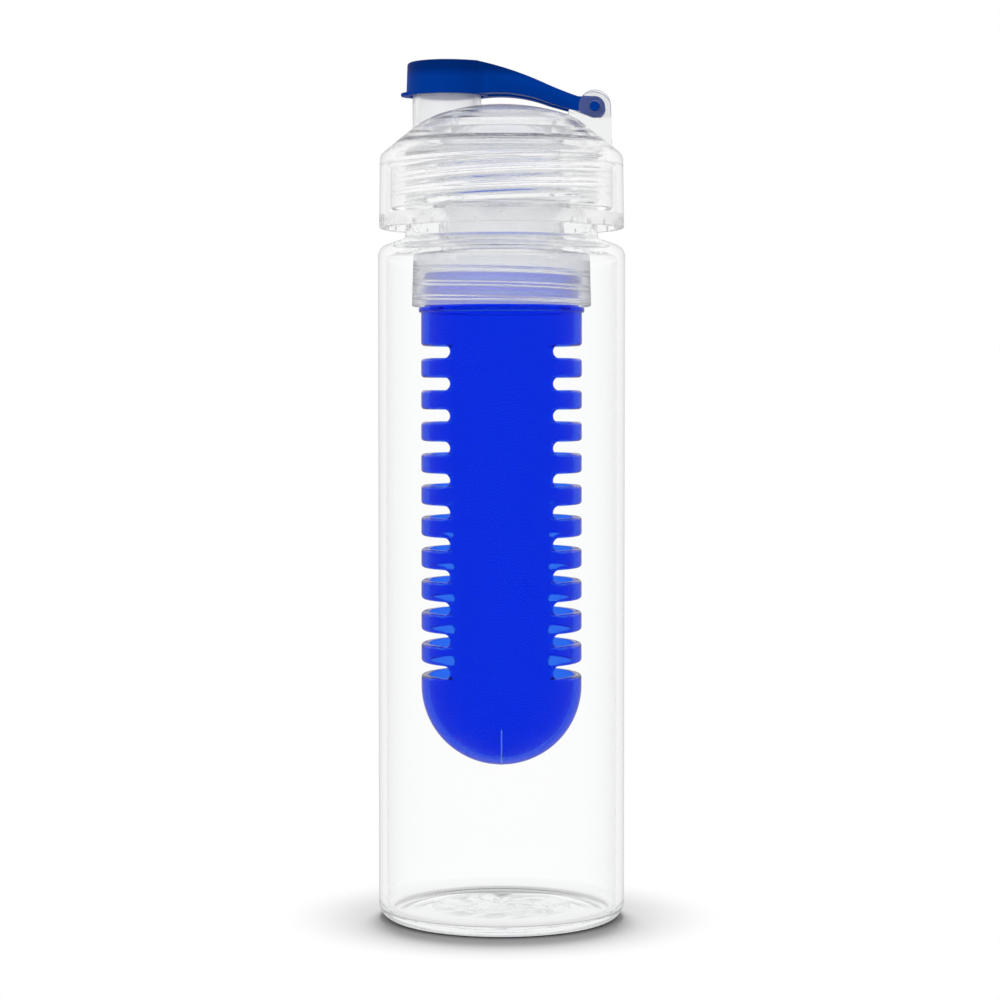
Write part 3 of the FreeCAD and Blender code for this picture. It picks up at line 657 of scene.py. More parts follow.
def weld(item, other):
    """Joins a second mesh to a piece where their borders meet."""
    shape = bmesh.new()
    shape.from_mesh(item.data)
    shape.from_mesh(other.data)
    bmesh.ops.remove_doubles(shape, verts=shape.verts, dist=GUARD * MM / 100)
    bmesh.ops.recalc_face_normals(shape, faces=shape.faces)
    shape.to_mesh(item.data)
    shape.free()
    bpy.data.objects.remove(other)


def bevel(item, width, segments=3):
    """Rounds a piece's sharp edges."""
    modifier = item.modifiers.new("soft_edges", "BEVEL")
    modifier.width = width * MM
    modifier.segments = segments
    modifier.limit_method = "ANGLE"
    modifier.angle_limit = LIMIT_ANGLE
    return settle(item)


def paint(item, material, chosen):
    """Gives another material to the faces chosen by their distance from the axis and their height."""
    item.data.materials.append(material)
    for face in item.data.polygons:
        if chosen(face.center.xy.length / MM, face.center.z / MM):
            face.material_index = len(item.data.materials) - 1


def smooth(item, flat_faces):
    """Smooth shading with crisp edges. Large flat faces keep their own normals."""
    item.data.shade_smooth()
    item.data.set_sharp_from_angle(angle=SHARP_ANGLE)
    if flat_faces:
        modifier = item.modifiers.new("even_normals", "WEIGHTED_NORMAL")
        modifier.keep_sharp = True
        settle(item)


def mount(item, body, node, flat_faces=False):
    """Puts a finished piece on its body in place of the plain node."""
    smooth(item, flat_faces)
    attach(item, body)
    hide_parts(node)


# Materials

# Outside the ring, the bottle's foot passes little light below the low height and all above the high one.
FOOT_RING = 31.0
FOOT_LOW = 10.0
FOOT_HIGH = 26.0
FOOT_PASS = 0.05
CAUGHT_DEPTH = 20.0
CAUGHT_TONE = (0.9, 0.9, 0.91)
CLEAR_SHADE = (0.93, 0.93, 0.935)
MILKY_SHADE = (0.88, 0.88, 0.89)
# The grey swirl in the middle of the base is painted shade.
SWIRL_PALE = 0.97
SWIRL_SHADE_DEPTH = 0.72
SWIRL_SCALE = 3.4
SWIRL_RANGE = (0.42, 0.64)
SWIRL_FADE_START = 0.75
SWIRL_EDGE = 0.4
# The lid's roof is painted a deeper blue than its sides, which is painted shade.
LID_SIDE_TOP = LID_TOP - 5.2
LID_ROOF_FOOT = LID_TOP - 1.8
LID_SIDE_BLUE = (0.0, 0.05, 0.365)
LID_ROOF_PAINTED_SHADE_BLUE = (0.0, 0.027, 0.2)
PATCH_RANGE = (0.3, 0.7)
PATCH_WEIGHT = 0.6
GRAIN_WEIGHT = 0.4
PATCH_DETAIL = 3.0


def skin_group():
    """Faint unevenness of a moulded face: a roughness that drifts and a shallow ripple."""
    group = bpy.data.node_groups.new("moulded_skin", "ShaderNodeTree")
    for name in ("Patch Scale", "Grain Scale", "Smooth", "Rough"):
        group.interface.new_socket(name, in_out="INPUT", socket_type="NodeSocketFloat")
    for name in ("Roughness", "Height"):
        group.interface.new_socket(name, in_out="OUTPUT", socket_type="NodeSocketFloat")
    nodes = Nodes(group)
    size = nodes.add("NodeGroupInput").outputs
    place = nodes.here()
    patch = nodes.noise(place, size["Patch Scale"], PATCH_DETAIL)
    grain = nodes.noise(place, size["Grain Scale"])
    rough = nodes.ramp(patch, From_Min=PATCH_RANGE[0], From_Max=PATCH_RANGE[1], To_Min=size["Smooth"],
                       To_Max=size["Rough"])
    height = nodes.math("ADD", nodes.times(grain, GRAIN_WEIGHT), nodes.times(patch, PATCH_WEIGHT))
    nodes.add("NodeGroupOutput", Roughness=rough, Height=height)
    return group


SKIN = skin_group()


def foot_shade(nodes, shade):
    """What passes the bottle's wall, less near the ground."""
    part = nodes.split(nodes.here())
    rim = nodes.math("GREATER_THAN", nodes.away(part), FOOT_RING * MM)
    low = nodes.ramp(part["Z"], From_Min=FOOT_LOW * MM, From_Max=FOOT_HIGH * MM, To_Min=1.0, To_Max=0.0)
    held = nodes.times(nodes.times(rim, low), 1.0 - FOOT_PASS)
    return nodes.times(nodes.minus(1.0, held), shade[0])


def plastic(name, colour, skin, ripple=0.001, transmission=1.0, ior=1.5, shade=CLEAR_SHADE, absorb=None,
            dark_foot=False, caught_tone=CAUGHT_TONE, **settings):
    """A moulded plastic. shade is what passes a shadow ray or diffuse ray at each face, less near the ground
    with dark_foot, and absorb is the colour and density of what it takes up inside."""
    material = bpy.data.materials.new(name)
    nodes = empty_nodes(material)
    surface = nodes.add("ShaderNodeGroup", {"node_tree": SKIN}, **skin).outputs
    tint = colour(nodes) if callable(colour) else (*colour, 1.0)
    bump = nodes.add("ShaderNodeBump", Height=surface["Height"], Distance=ripple * MM, Strength=1.0)
    body = nodes.add("ShaderNodeBsdfPrincipled", Base_Color=tint, IOR=ior, Transmission_Weight=transmission,
                     Roughness=surface["Roughness"], Normal=bump.outputs[0], **settings)
    path = nodes.add("ShaderNodeLightPath").outputs
    # A ray that is caught in the wall for long comes out as the pale light around it.
    caught = nodes.math("GREATER_THAN", path["Ray Depth"], CAUGHT_DEPTH)
    pale = nodes.add("ShaderNodeEmission", Color=(*caught_tone, 1.0), Strength=1.0)
    seen = nodes.blend(body.outputs[0], pale.outputs[0], caught)
    passed = foot_shade(nodes, shade) if dark_foot else (*shade, 1.0)
    clear = nodes.add("ShaderNodeBsdfTransparent", Color=passed)
    unseen = nodes.math("MAXIMUM", path["Is Shadow Ray"], path["Is Diffuse Ray"])
    result = nodes.add("ShaderNodeOutputMaterial", Surface=nodes.blend(seen, clear.outputs[0], unseen))
    if absorb:
        inside = nodes.add("ShaderNodeVolumeAbsorption", Color=(*absorb[0], 1.0), Density=absorb[1])
        nodes.feed(result.inputs["Volume"], inside.outputs[0])
    return material


def lid_blue_painted_shade(nodes):
    """The lid's blue, with painted shade that makes it deeper on its thick roof than on its thin sides."""
    height = nodes.split(nodes.here())["Z"]
    mixed = nodes.add("ShaderNodeMix", {"data_type": "RGBA"})
    sockets = {socket.identifier: socket for socket in mixed.inputs}
    roof = nodes.ramp(height, smooth=True, From_Min=LID_SIDE_TOP * MM, From_Max=LID_ROOF_FOOT * MM)
    nodes.feed(sockets["Factor_Float"], roof)
    nodes.feed(sockets["A_Color"], (*LID_SIDE_BLUE, 1.0))
    nodes.feed(sockets["B_Color"], (*LID_ROOF_PAINTED_SHADE_BLUE, 1.0))
    return mixed.outputs[2]


def swirl_painted_shade(nodes):
    """Painted shade: grey streaks in the clear base's colour, swirling out from its middle where the flow
    marks are.
    """
    place = nodes.here()
    share = nodes.over(nodes.length(place), HUB_RADIUS * MM)
    streaks = nodes.swirl(nodes.split(place), share, SWIRL_SCALE)
    depth = nodes.ramp(streaks, smooth=True, From_Min=SWIRL_RANGE[0], From_Max=SWIRL_RANGE[1],
                       To_Max=SWIRL_SHADE_DEPTH)
    fade = nodes.ramp(share, From_Min=SWIRL_FADE_START, To_Min=1.0, To_Max=SWIRL_EDGE)
    return nodes.minus(SWIRL_PALE, nodes.times(depth, fade))


def face_finish(smooth_level, rough_level, patch=80.0, grain=1500.0):
    return {"Patch_Scale": patch, "Grain_Scale": grain, "Smooth": smooth_level, "Rough": rough_level}


POLISHED = face_finish(0.0, 0.03, patch=45.0, grain=700.0)
SLIGHT = face_finish(0.02, 0.06)
BLURRED = face_finish(0.08, 0.12)
HAZY = face_finish(0.1, 0.16)
FROSTED = face_finish(0.22, 0.32)
MOTTLED = face_finish(0.24, 0.36, patch=160.0, grain=1200.0)
SATIN = face_finish(0.34, 0.44, patch=60.0, grain=1400.0)
DULL = (0.1, 0.1, 0.1, 1.0)
SOFT_GLOSS = (0.35, 0.35, 0.35, 1.0)
WATER_CLEAR = (0.998, 0.998, 0.998)

clear_bottle = plastic("clear_bottle", (0.99, 0.993, 0.993), POLISHED, ior=1.36, dark_foot=True,
                       absorb=((0.55, 0.58, 0.6), 3.0), Specular_Tint=DULL)
clear_cap = plastic("clear_cap", WATER_CLEAR, POLISHED, caught_tone=(0.92, 0.92, 0.93),
                    Specular_Tint=SOFT_GLOSS)
soft_thread = plastic("soft_thread", WATER_CLEAR, BLURRED, Specular_Tint=DULL)
satin_crown = plastic("satin_crown", WATER_CLEAR, HAZY, Specular_Tint=SOFT_GLOSS)
frosted_cap = plastic("frosted_cap", (0.98, 0.981, 0.983), HAZY, ripple=0.003, transmission=0.85, ior=1.4)
# The collar's neck has a lighter, clearer copy of the milky collar's plastic: painted light against the
# shade on it.
collar_neck_painted_light = plastic("collar_neck_painted_light", (0.985, 0.987, 0.99), HAZY, ripple=0.003, transmission=0.92, ior=1.4)
gate_marks_painted_shade = plastic("gate_marks_painted_shade", swirl_painted_shade, POLISHED, ior=1.36, Specular_Tint=DULL)
clear_ears = plastic("clear_ears", (0.88, 0.885, 0.89), SLIGHT, ripple=0.002, transmission=0.97,
                     shade=(0.9, 0.9, 0.905), Specular_Tint=SOFT_GLOSS)
matte_rim = plastic("matte_rim", (0.99, 0.991, 0.993), MOTTLED, transmission=0.9, ior=1.3,
                    shade=(0.92, 0.92, 0.925))
milky_collar = plastic("milky_collar", (0.94, 0.945, 0.95), HAZY, ripple=0.003, transmission=0.82, ior=1.45,
                       shade=MILKY_SHADE)
blue_basket = plastic("blue_basket", (0.05, 0.25, 0.9), POLISHED, ior=1.28, shade=(0.93, 0.94, 0.97),
                      absorb=((0.0, 0.333, 0.95), 300.0), caught_tone=(0.0, 0.03, 0.5), Specular_Tint=DULL)
# The mould line's paler, less clear blue is a painted highlight on the real ridge.
mould_line_painted_highlight = plastic("mould_line_painted_highlight", (0.25, 0.45, 1.0), SLIGHT, transmission=0.5, ior=1.3,
                    shade=(0.9, 0.92, 0.97), caught_tone=(0.1, 0.2, 0.8), Specular_Tint=DULL)
blue_lid = plastic("blue_lid", lid_blue_painted_shade, SATIN, ripple=0.006, transmission=0.35, ior=1.25,
                   shade=(0.3, 0.32, 0.4), caught_tone=(0.0, 0.02, 0.2), Specular_IOR_Level=0.1,
                   Specular_Tint=DULL)
silicone = plastic("silicone", (0.98, 0.982, 0.985), FROSTED, ripple=0.003, transmission=0.95, ior=1.42,
                   shade=MILKY_SHADE)


# Pieces

THREAD = thread_tree()
SLOTS = slot_tree()
NOTCHES = notch_tree()
FLOW = flow_tree()


def make_bottle():
    """The clear body: a turned shell with a hub under its base and a quick thread on its neck."""
    slope = SHOULDER_FALL / (BODY_RADIUS - NECK_RADIUS)
    inner = BODY_RADIUS - BODY_WALL
    hub = PUNT_RISE + HUB_STEP
    outline = rounded([
        (0, hub),
        (HUB_RADIUS, hub, FINE_EDGE, HUB_ROW),
        (HUB_RADIUS, PUNT_RISE, FINE_EDGE),
        (BODY_RADIUS - RING_INSET, 0, EDGE),
        (BODY_RADIUS, 0, BASE_ROUND),
        (BODY_RADIUS, SHOULDER_HEIGHT - SHOULDER_FALL, SHOULDER_ROUND),
        (NECK_RADIUS, SHOULDER_HEIGHT, NECK_ROOT),
        (NECK_RADIUS, NECK_TOP, SOFT_EDGE, THREAD_ROW),
        (NECK_BORE, NECK_TOP, SOFT_EDGE),
        (NECK_BORE, SHOULDER_HEIGHT + NECK_WALL * slope - BODY_WALL, ROUND_EDGE),
        (inner, SHOULDER_HEIGHT - (inner - NECK_RADIUS) * slope - BODY_WALL, INNER_SHOULDER_ROUND),
        (inner, BASE_THICKNESS - BASE_SAG, BASE_ROUND - BODY_WALL),
        (0, BASE_THICKNESS + PUNT_RISE),
    ], closed=False)
    bottle = turned("clear_bottle", outline, clear_bottle)
    raise_thread(bottle, clear_bottle, CAP_THREAD, NECK_RADIUS, NECK_THREAD_ENDS, CAP_THREAD_HEIGHT)
    grow(bottle, FLOW, clear_bottle, Radius=HUB_RADIUS, Foot=hub, Depth=FLOW_DEPTH)
    paint(bottle, soft_thread, lambda away, height: height > SOFT_NECK_FOOT and away > SOFT_NECK_RADIUS)
    # The middle of the base gets the swirl of painted shade.
    paint(bottle, gate_marks_painted_shade, lambda away, height: height < hub + HUB_STEP and away < HUB_RADIUS)
    mount(bottle, "bottle", "bottle_body")


def make_gasket():
    """The flat ring on the neck's lip."""
    outline = rounded([
        (NECK_BORE, NECK_TOP, SEAL_EDGE),
        (GASKET_RADIUS, NECK_TOP, SEAL_EDGE),
        (GASKET_RADIUS, SEAT, SEAL_EDGE),
        (NECK_BORE, SEAT, SEAL_EDGE),
    ])
    mount(turned("neck_gasket", outline, silicone), "seal", "neck_seal")


def cap_outside():
    """The cap's outer section from its rim over the cone to the middle of the dome."""
    crown = [(radius, dome(radius)) for radius in CROWN_RADII]
    lean = math.atan(CONE_SLOPE)
    foot = Vector((DOME_EDGE_RADIUS + DOME_BLEND * math.cos(lean), DOME_EDGE - DOME_BLEND * math.sin(lean)))
    corner = Vector((DOME_EDGE_RADIUS, DOME_EDGE))
    head = Vector(crown[0])
    shares = [step / BLEND_STEPS for step in range(BLEND_STEPS)]
    blend = [tuple(foot.lerp(corner, share).lerp(corner.lerp(head, share), share)) for share in shares]
    rim = rounded([
        (0, CAP_RIM),
        (CAP_BORE, CAP_RIM, FINE_EDGE),
        (CAP_RADIUS, CAP_RIM, ROUND_EDGE),
        (RIM_BAND_RADIUS, RIM_BAND),
        (CORNER_RADIUS, CAP_CORNER, CAP_ROUND),
        tuple(foot),
    ], closed=False)[1:-1]
    # The run along the rim from the axis only shapes the first rounding, so its inner points are dropped.
    rim = [point for point in rim if point[0] > CAP_BORE - GUARD]
    return rim + blend + crown


def cap_inside():
    """The cap's inner section: under the dome, the tube with its bead and stop, the seat and the skirt."""
    inside = [(radius, dome(radius, CROWN_DROP)) for radius in RADII_IN_TUBE]
    beside = [(radius, dome(radius, CROWN_DROP)) for radius in RADII_BESIDE_TUBE]
    snap_top = COLLAR_CEILING - SNAP_GAP
    tube = rounded([
        inside[-1],
        (TUBE_BORE, dome(TUBE_BORE, CROWN_DROP), WIDE_EDGE),
        (TUBE_BORE, TUBE_FOOT, EDGE),
        (TUBE_RADIUS, TUBE_FOOT, EDGE),
        (TUBE_RADIUS, SNAP_START, FINE_EDGE),
        (SNAP_RADIUS, snap_top - SNAP_HEIGHT, FINE_EDGE),
        (SNAP_RADIUS, snap_top, FINE_EDGE),
        (TUBE_RADIUS, snap_top, SNAP_ROOT),
        (TUBE_RADIUS, STOP_FOOT, FINE_EDGE),
        (STOP_RADIUS, STOP_FOOT, EDGE),
        (STOP_RADIUS, STOP_TOP, EDGE),
        (TUBE_RADIUS, STOP_TOP, EDGE),
        (TUBE_RADIUS, dome(TUBE_RADIUS, CROWN_DROP), WIDE_EDGE),
        beside[0],
    ], closed=False)[1:-1]
    skirt = rounded([
        beside[-1],
        (SEAT_INNER, dome(SEAT_INNER, CROWN_DROP), ROUND_EDGE),
        (SEAT_INNER, SEAT, FINE_EDGE),
        (SKIRT_RADIUS, SEAT, EDGE),
        (SKIRT_RADIUS, SKIRT_FOOT, SOFT_EDGE, THREAD_ROW),
        (SKIRT_RADIUS + SKIRT_WALL, SKIRT_FOOT, SOFT_EDGE),
        (SKIRT_RADIUS + SKIRT_WALL, SKIRT_GAP_TOP, SOFT_EDGE),
        (CORNER_RADIUS - CAP_WALL, SKIRT_GAP_TOP, SOFT_EDGE),
        (CAP_BORE, CAP_RIM),
    ], closed=False)[1:-1]
    return inside + tube + beside + skirt


def make_cap_shell():
    """The cap's section crosses the axis twice, so it is turned as an outer and an inner skin and joined."""
    shape = bmesh.new()
    skins = [[ring(shape, spot, full_circle(SEGMENTS)) for spot in outline]
             for outline in (cap_outside(), cap_inside())]
    for rings in skins:
        for lower, upper in zip(rings, rings[1:]):
            bridge(shape, lower, upper)
    bridge(shape, skins[1][-1], skins[0][0])
    return piece("clear_cap", mesh_from(shape, "clear_cap"), clear_cap)


def cross_pin(name, radius, half_length, material, chamfer=0.0):
    """A round bar on the hinge's axis."""
    outline = [(0, -half_length), (radius - chamfer, -half_length), (radius, chamfer - half_length),
               (radius, half_length - chamfer), (radius - chamfer, half_length), (0, half_length)]
    bar = turned(name, list(dict.fromkeys(outline)), material, PIN_SEGMENTS)
    lie_down = Matrix.Rotation(-QUARTER_TURN, 4, "X")
    bar.data.transform(Matrix.Translation((HINGE_X * MM, 0, HINGE_HEIGHT * MM)) @ lie_down)
    return bar


def make_bracket():
    """Two ears for the pin on a shelf that follows the arm's underside."""
    toe = (HINGE_X - EAR_RADIUS * math.cos(EAR_TOE), HINGE_HEIGHT - EAR_RADIUS * math.sin(EAR_TOE))
    shelf = ARM_NECK_FOOT + (ARM_NECK_X - BRACKET_FRONT) * ARM_FALL - HINGE_GAP
    heel = (HINGE_X + EAR_RADIUS, HINGE_HEIGHT)
    top = (HINGE_X, HINGE_HEIGHT + EAR_RADIUS)
    bracket = prism("bracket", [
        (BRACKET_FRONT, BRACKET_FRONT_FOOT), (BRACKET_FRONT, shelf), toe,
        *arc_points(toe, top, EAR_RADIUS, left=False), *arc_points(top, heel, EAR_RADIUS, left=False),
        (BRACKET_BACK, BRACKET_BACK_FOOT),
    ], BRACKET_HALF_WIDTH, clear_ears)
    bevel(bracket, EAR_BEVEL)
    room = KNUCKLE_RADIUS + HINGE_GAP
    slot_heel = (HINGE_X - room * math.sin(KNUCKLE_TOE), HINGE_HEIGHT - room * math.cos(KNUCKLE_TOE))
    floor = (HINGE_X, HINGE_HEIGHT - room)
    slot = prism("slot", [
        (BRACKET_FRONT - room, shelf + room * ARM_FALL),
        (ARM_NECK_X, ARM_NECK_FOOT - HINGE_GAP),
        slot_heel, *arc_points(slot_heel, floor, room, left=True, steps=SHORT_ARC_POINTS),
        (BRACKET_BACK + room, HINGE_HEIGHT - room),
        (BRACKET_BACK + room, HINGE_HEIGHT + 2 * room),
        (BRACKET_FRONT - room, HINGE_HEIGHT + 2 * room),
    ], KNUCKLE_HALF_WIDTH + HINGE_GAP, clear_ears)
    hole = cross_pin("hole", PIN_RADIUS + PIN_ROOM, BRACKET_HALF_WIDTH + room, clear_ears)
    return carve(bracket, "DIFFERENCE", slot, hole)


def beside_axis(name, outline, material, x=SPOUT_X):
    """A small turned shape on an upright axis of its own."""
    return turned(name, outline, material, SMALL_SEGMENTS, (x, 0))


def make_spout():
    """A solid spout whose foot ends halfway into the crown."""
    spout = beside_axis("spout", rounded([
        (0, DOME_EDGE), (SPOUT_RADIUS, DOME_EDGE), (SPOUT_RADIUS, SPOUT_TOP, SPOUT_LIP), (0, SPOUT_TOP),
    ], closed=False), frosted_cap)
    for corner in spout.data.vertices:
        if corner.co.z < DOME_EDGE * MM + GUARD * MM / 2:
            corner.co.z = (dome(corner.co.xy.length / MM) - CROWN_DROP / 2) * MM
    return spout


def make_cap():
    """The clear cap with its spout and hinge ears."""
    cap = make_cap_shell()
    raise_thread(cap, clear_cap, CAP_THREAD, SKIRT_RADIUS, SKIRT_THREAD_ENDS, -CAP_THREAD_HEIGHT)
    grow(cap, NOTCHES, clear_cap, Radius=CAP_BORE, Height=CAP_RIM, Depth=NOTCH_SIZE[0], Width=NOTCH_SIZE[1],
         Rise=NOTCH_SIZE[2])
    paint(cap, matte_rim, lambda away, height: height < RIM_BAND and away > CAP_RADIUS - CAP_WALL / 2)
    paint(cap, satin_crown, lambda away, height: height > dome(away, CROWN_DROP / 2))
    bore = beside_axis("bore", [
        (0, SPOUT_BORE_FOOT), (SPOUT_BORE, SPOUT_BORE_FOOT), (SPOUT_BORE, SPOUT_TOP - SPOUT_LIP / 2),
        (SPOUT_BORE + SPOUT_LIP, SPOUT_TOP + SPOUT_LIP / 2), (0, SPOUT_TOP + SPOUT_LIP / 2),
    ], frosted_cap)
    carve(cap, "UNION", make_spout(), make_bracket())
    carve(cap, "DIFFERENCE", bore)
    mount(cap, "cap", "screw_cap")


def arm_top(x):
    """Height of the arm's upper side."""
    neck = (ARM_NECK_X, HINGE_HEIGHT + ARM_NECK_RISE)
    if x < ARM_ROOT:
        return LID_TOP
    if x < ARM_BEND[0]:
        return height_on_arc(x, (ARM_ROOT, LID_TOP), ARM_BEND, ARM_CREST_RADIUS, left=False)
    if x < ARM_NECK_X:
        return height_on_arc(x, ARM_BEND, neck, ARM_SWEEP_RADIUS, left=True)
    return neck[1] + (KNUCKLE_RADIUS - ARM_NECK_RISE) * (x - ARM_NECK_X) / (HINGE_X - ARM_NECK_X)


def arm_foot(x):
    """Height of the arm's underside."""
    if x < ARM_ROOT:
        return LID_FOOT
    if x < ARM_BELLY[0]:
        return height_on_arc(x, (ARM_ROOT, LID_FOOT), ARM_BELLY, ARM_BELLY_RADIUS, left=False)
    if x < ARM_NECK_X:
        return ARM_BELLY[1] - (x - ARM_BELLY[0]) * ARM_FALL
    toe = HINGE_X - KNUCKLE_RADIUS * math.sin(KNUCKLE_TOE)
    toe_height = HINGE_HEIGHT - KNUCKLE_RADIUS * math.cos(KNUCKLE_TOE)
    if x < toe:
        return ARM_NECK_FOOT + (toe_height - ARM_NECK_FOOT) * (x - ARM_NECK_X) / (toe - ARM_NECK_X)
    return HINGE_HEIGHT - math.sqrt(KNUCKLE_RADIUS ** 2 - (x - HINGE_X) ** 2)


def arm_half_width(x, z):
    """Half the arm's width, which leaves the cup's round side in a soft hollow and tapers to the knuckle."""
    share = min((x - ARM_ROOT) / (ARM_NECK_X - ARM_ROOT), 1)
    taper = ARM_HALF_WIDTH + (KNUCKLE_HALF_WIDTH - ARM_HALF_WIDTH) * share
    radius = LID_RADIUS - LID_DRAFT * (z - LID_FOOT) / (LID_TOP - LID_FOOT)
    chord = math.sqrt(max(radius ** 2 - (x - SPOUT_X) ** 2, 0))
    near = max(ARM_HOLLOW - abs(taper - chord), 0) / ARM_HOLLOW
    return max(taper, chord) + near ** 2 * ARM_HOLLOW / 4 - ARM_INSET


def arm_section(x):
    """Points (y, z) around the arm's rounded cross section."""
    foot, top = arm_foot(x), arm_top(x)
    edge = []
    for turn in ARM_FOOT_TURNS:
        angle = QUARTER_TURN * turn
        edge.append((ARM_BEVEL * (1 - math.sin(angle)), foot + ARM_BEVEL * (1 - math.cos(angle))))
    edge += [(0, foot + (top - foot) * share) for share in ARM_SIDE_SHARES]
    for turn in ARM_TOP_TURNS:
        angle = QUARTER_TURN * turn
        edge.append((LID_ROUND * (1 - math.cos(angle)), top - LID_ROUND * (1 - math.sin(angle))))
    right = [(arm_half_width(x, z) - inset, z) for inset, z in edge]
    left = [(-y, z) for y, z in reversed(right)]
    return [(0.0, foot), *right, (0.0, top), *left]


def make_arm():
    """The arm from the cup to the knuckle, drawn through its cross sections."""
    shape = bmesh.new()
    sections = []
    for step in range(ARM_STEPS + 1):
        x = SPOUT_X + (HINGE_X - SPOUT_X) * step / ARM_STEPS
        sections.append([shape.verts.new((x, y, z)) for y, z in arm_section(x)])
    for first, second in zip(sections, sections[1:]):
        bridge(shape, first, second)
    shape.faces.new(sections[0])
    shape.faces.new(sections[-1])
    arm = piece("arm", mesh_from(shape, "arm"), blue_lid)
    knuckle = cross_pin("knuckle", KNUCKLE_RADIUS, KNUCKLE_HALF_WIDTH, blue_lid, KNUCKLE_CHAMFER)
    return carve(arm, "UNION", knuckle)


def make_lid():
    """The blue cup over the spout with its thumb lip, button and hollow arm."""
    lid = beside_axis("blue_lid", rounded([
        (0, LID_FOOT), (LID_RADIUS, LID_FOOT, EDGE), (LID_RADIUS - LID_DRAFT, LID_TOP, LID_ROUND),
        (BUTTON_RADIUS, LID_TOP, BUTTON_ROOT), (BUTTON_RADIUS, LID_CREST, BUTTON_EDGE), (0, LID_CREST),
    ], closed=False), blue_lid)
    thumb_top = LID_FOOT + THUMB_THICKNESS
    thumb = beside_axis("thumb", rounded([
        (0, LID_FOOT), (THUMB_RADIUS, LID_FOOT, THUMB_FOOT_EDGE), (THUMB_RADIUS, thumb_top, THUMB_TOP_EDGE),
        (0, thumb_top),
    ], closed=False), blue_lid, SPOUT_X + THUMB_RADIUS - LID_RADIUS - THUMB_REACH)
    room = beside_axis("room", [
        (0, LID_FOOT - LID_ROOF), (LID_BORE, LID_FOOT - LID_ROOF), (LID_BORE, LID_TOP - LID_ROOF),
        (0, LID_TOP - LID_ROOF),
    ], blue_lid)
    start_rise, belly_rise, end_rise = CHANNEL_RISES
    end_foot = ARM_NECK_FOOT + (ARM_NECK_X - CHANNEL_END) * ARM_FALL
    channel = prism("channel", [
        (CHANNEL_START, CHANNEL_FOOT), (CHANNEL_START, LID_FOOT + start_rise),
        (ARM_BELLY[0], ARM_BELLY[1] + belly_rise), (CHANNEL_END, end_foot + end_rise),
        (CHANNEL_END, CHANNEL_FOOT),
    ], CHANNEL_HALF_WIDTH, blue_lid)
    hole = cross_pin("hole", PIN_RADIUS, BRACKET_HALF_WIDTH, blue_lid)
    carve(lid, "UNION", thumb, make_arm())
    carve(lid, "DIFFERENCE", room, channel, hole)
    mount(lid, "lid", "flip_lid", flat_faces=True)


def make_lid_seal():
    """The pad in the lid's roof with the hollow plug that closes the spout."""
    outline = rounded([
        (0, PAD_FOOT), (PLUG_HOLLOW, PAD_FOOT, EDGE), (PLUG_HOLLOW, PLUG_FOOT, EDGE),
        (PLUG_TIP_RADIUS, PLUG_FOOT, EDGE), (PLUG_RADIUS, PAD_FOOT, EDGE), (PAD_RADIUS, PAD_FOOT, EDGE),
        (PAD_RADIUS, PAD_TOP, EDGE), (0, PAD_TOP),
    ], closed=False)
    mount(beside_axis("plug_seal", outline, silicone), "lid", "lid_seal")


def make_pin():
    """The pin through the ears and the knuckle."""
    pin = cross_pin("lid_pin", PIN_RADIUS, PIN_HALF_LENGTH, blue_lid, PIN_CHAMFER)
    mount(pin, "lid", "hinge_pin")


def make_collar():
    """The milky ring that snaps over the cap's tube and takes the basket's thread."""
    slope = (COLLAR_NECK_FOOT - COLLAR_SHOULDER) / (COLLAR_TOP_RADIUS - STOP_RADIUS)
    outline = rounded([
        (COLLAR_RADIUS, COLLAR_FOOT, SOFT_EDGE),
        (COLLAR_TOP_RADIUS, COLLAR_SHOULDER, COLLAR_ROUND),
        (STOP_RADIUS, COLLAR_NECK_FOOT, COLLAR_ROUND),
        (STOP_RADIUS, COLLAR_TOP, EDGE),
        (COLLAR_BORE, COLLAR_TOP, EDGE),
        (COLLAR_BORE, COLLAR_CEILING, FINE_EDGE),
        (COLLAR_INNER_TOP, COLLAR_CEILING - (COLLAR_INNER_TOP - COLLAR_BORE) * slope, WIDE_EDGE),
        (COLLAR_RADIUS - COLLAR_WALL, COLLAR_FOOT, EDGE, THREAD_ROW),
    ])
    collar = turned("milky_collar", outline, milky_collar)
    raise_thread(collar, milky_collar, BASKET_THREAD, COLLAR_THREAD_RADIUS, COLLAR_THREAD_ENDS,
                 -BASKET_THREAD_HEIGHT, ON_TAPERED_WALL)
    # Painted light: the neck of the collar is lighter than the rest of it.
    paint(collar, collar_neck_painted_light, lambda away, height: height > COLLAR_NECK_FOOT)
    mount(collar, "infuser_collar", "collar")


def slot_loop(offset):
    """Points (y, z) anticlockwise around a round-ended slot, grown by an offset, from its lower right."""
    radius = SLOT_HEIGHT / 2 + offset
    end = (SLOT_LENGTH - SLOT_HEIGHT) / 2

    def bend(centre, start, stop, steps):
        angles = [EIGHTH_TURN * (start + (stop - start) * step / steps) for step in range(steps)]
        return [(centre + radius * math.cos(angle), radius * math.sin(angle)) for angle in angles]

    def run(start, stop, height):
        return [(start + (stop - start) * step / CELL_RUN, height) for step in range(CELL_RUN)]

    return [*bend(end, -1, 1, CELL_RISE), *bend(end, 1, 2, CELL_ENDS), *run(end, -end, radius),
            *bend(-end, 2, 3, CELL_ENDS), *bend(-end, 3, 5, CELL_RISE), *bend(-end, 5, 6, CELL_ENDS),
            *run(-end, end, -radius), *bend(end, 6, 7, CELL_ENDS)]


def cell_border():
    """Points (angle, z) around the patch of wall that holds a slot, one for each point of its loop."""
    top = SLOT_PITCH / 2
    right = [(CELL_REACH, top * (2 * step / CELL_RISE - 1)) for step in range(CELL_RISE)]
    above = [(CELL_REACH * (1 - 2 * step / CELL_ACROSS), top) for step in range(CELL_ACROSS)]
    return right + above + [(-angle, -height) for angle, height in right + above]


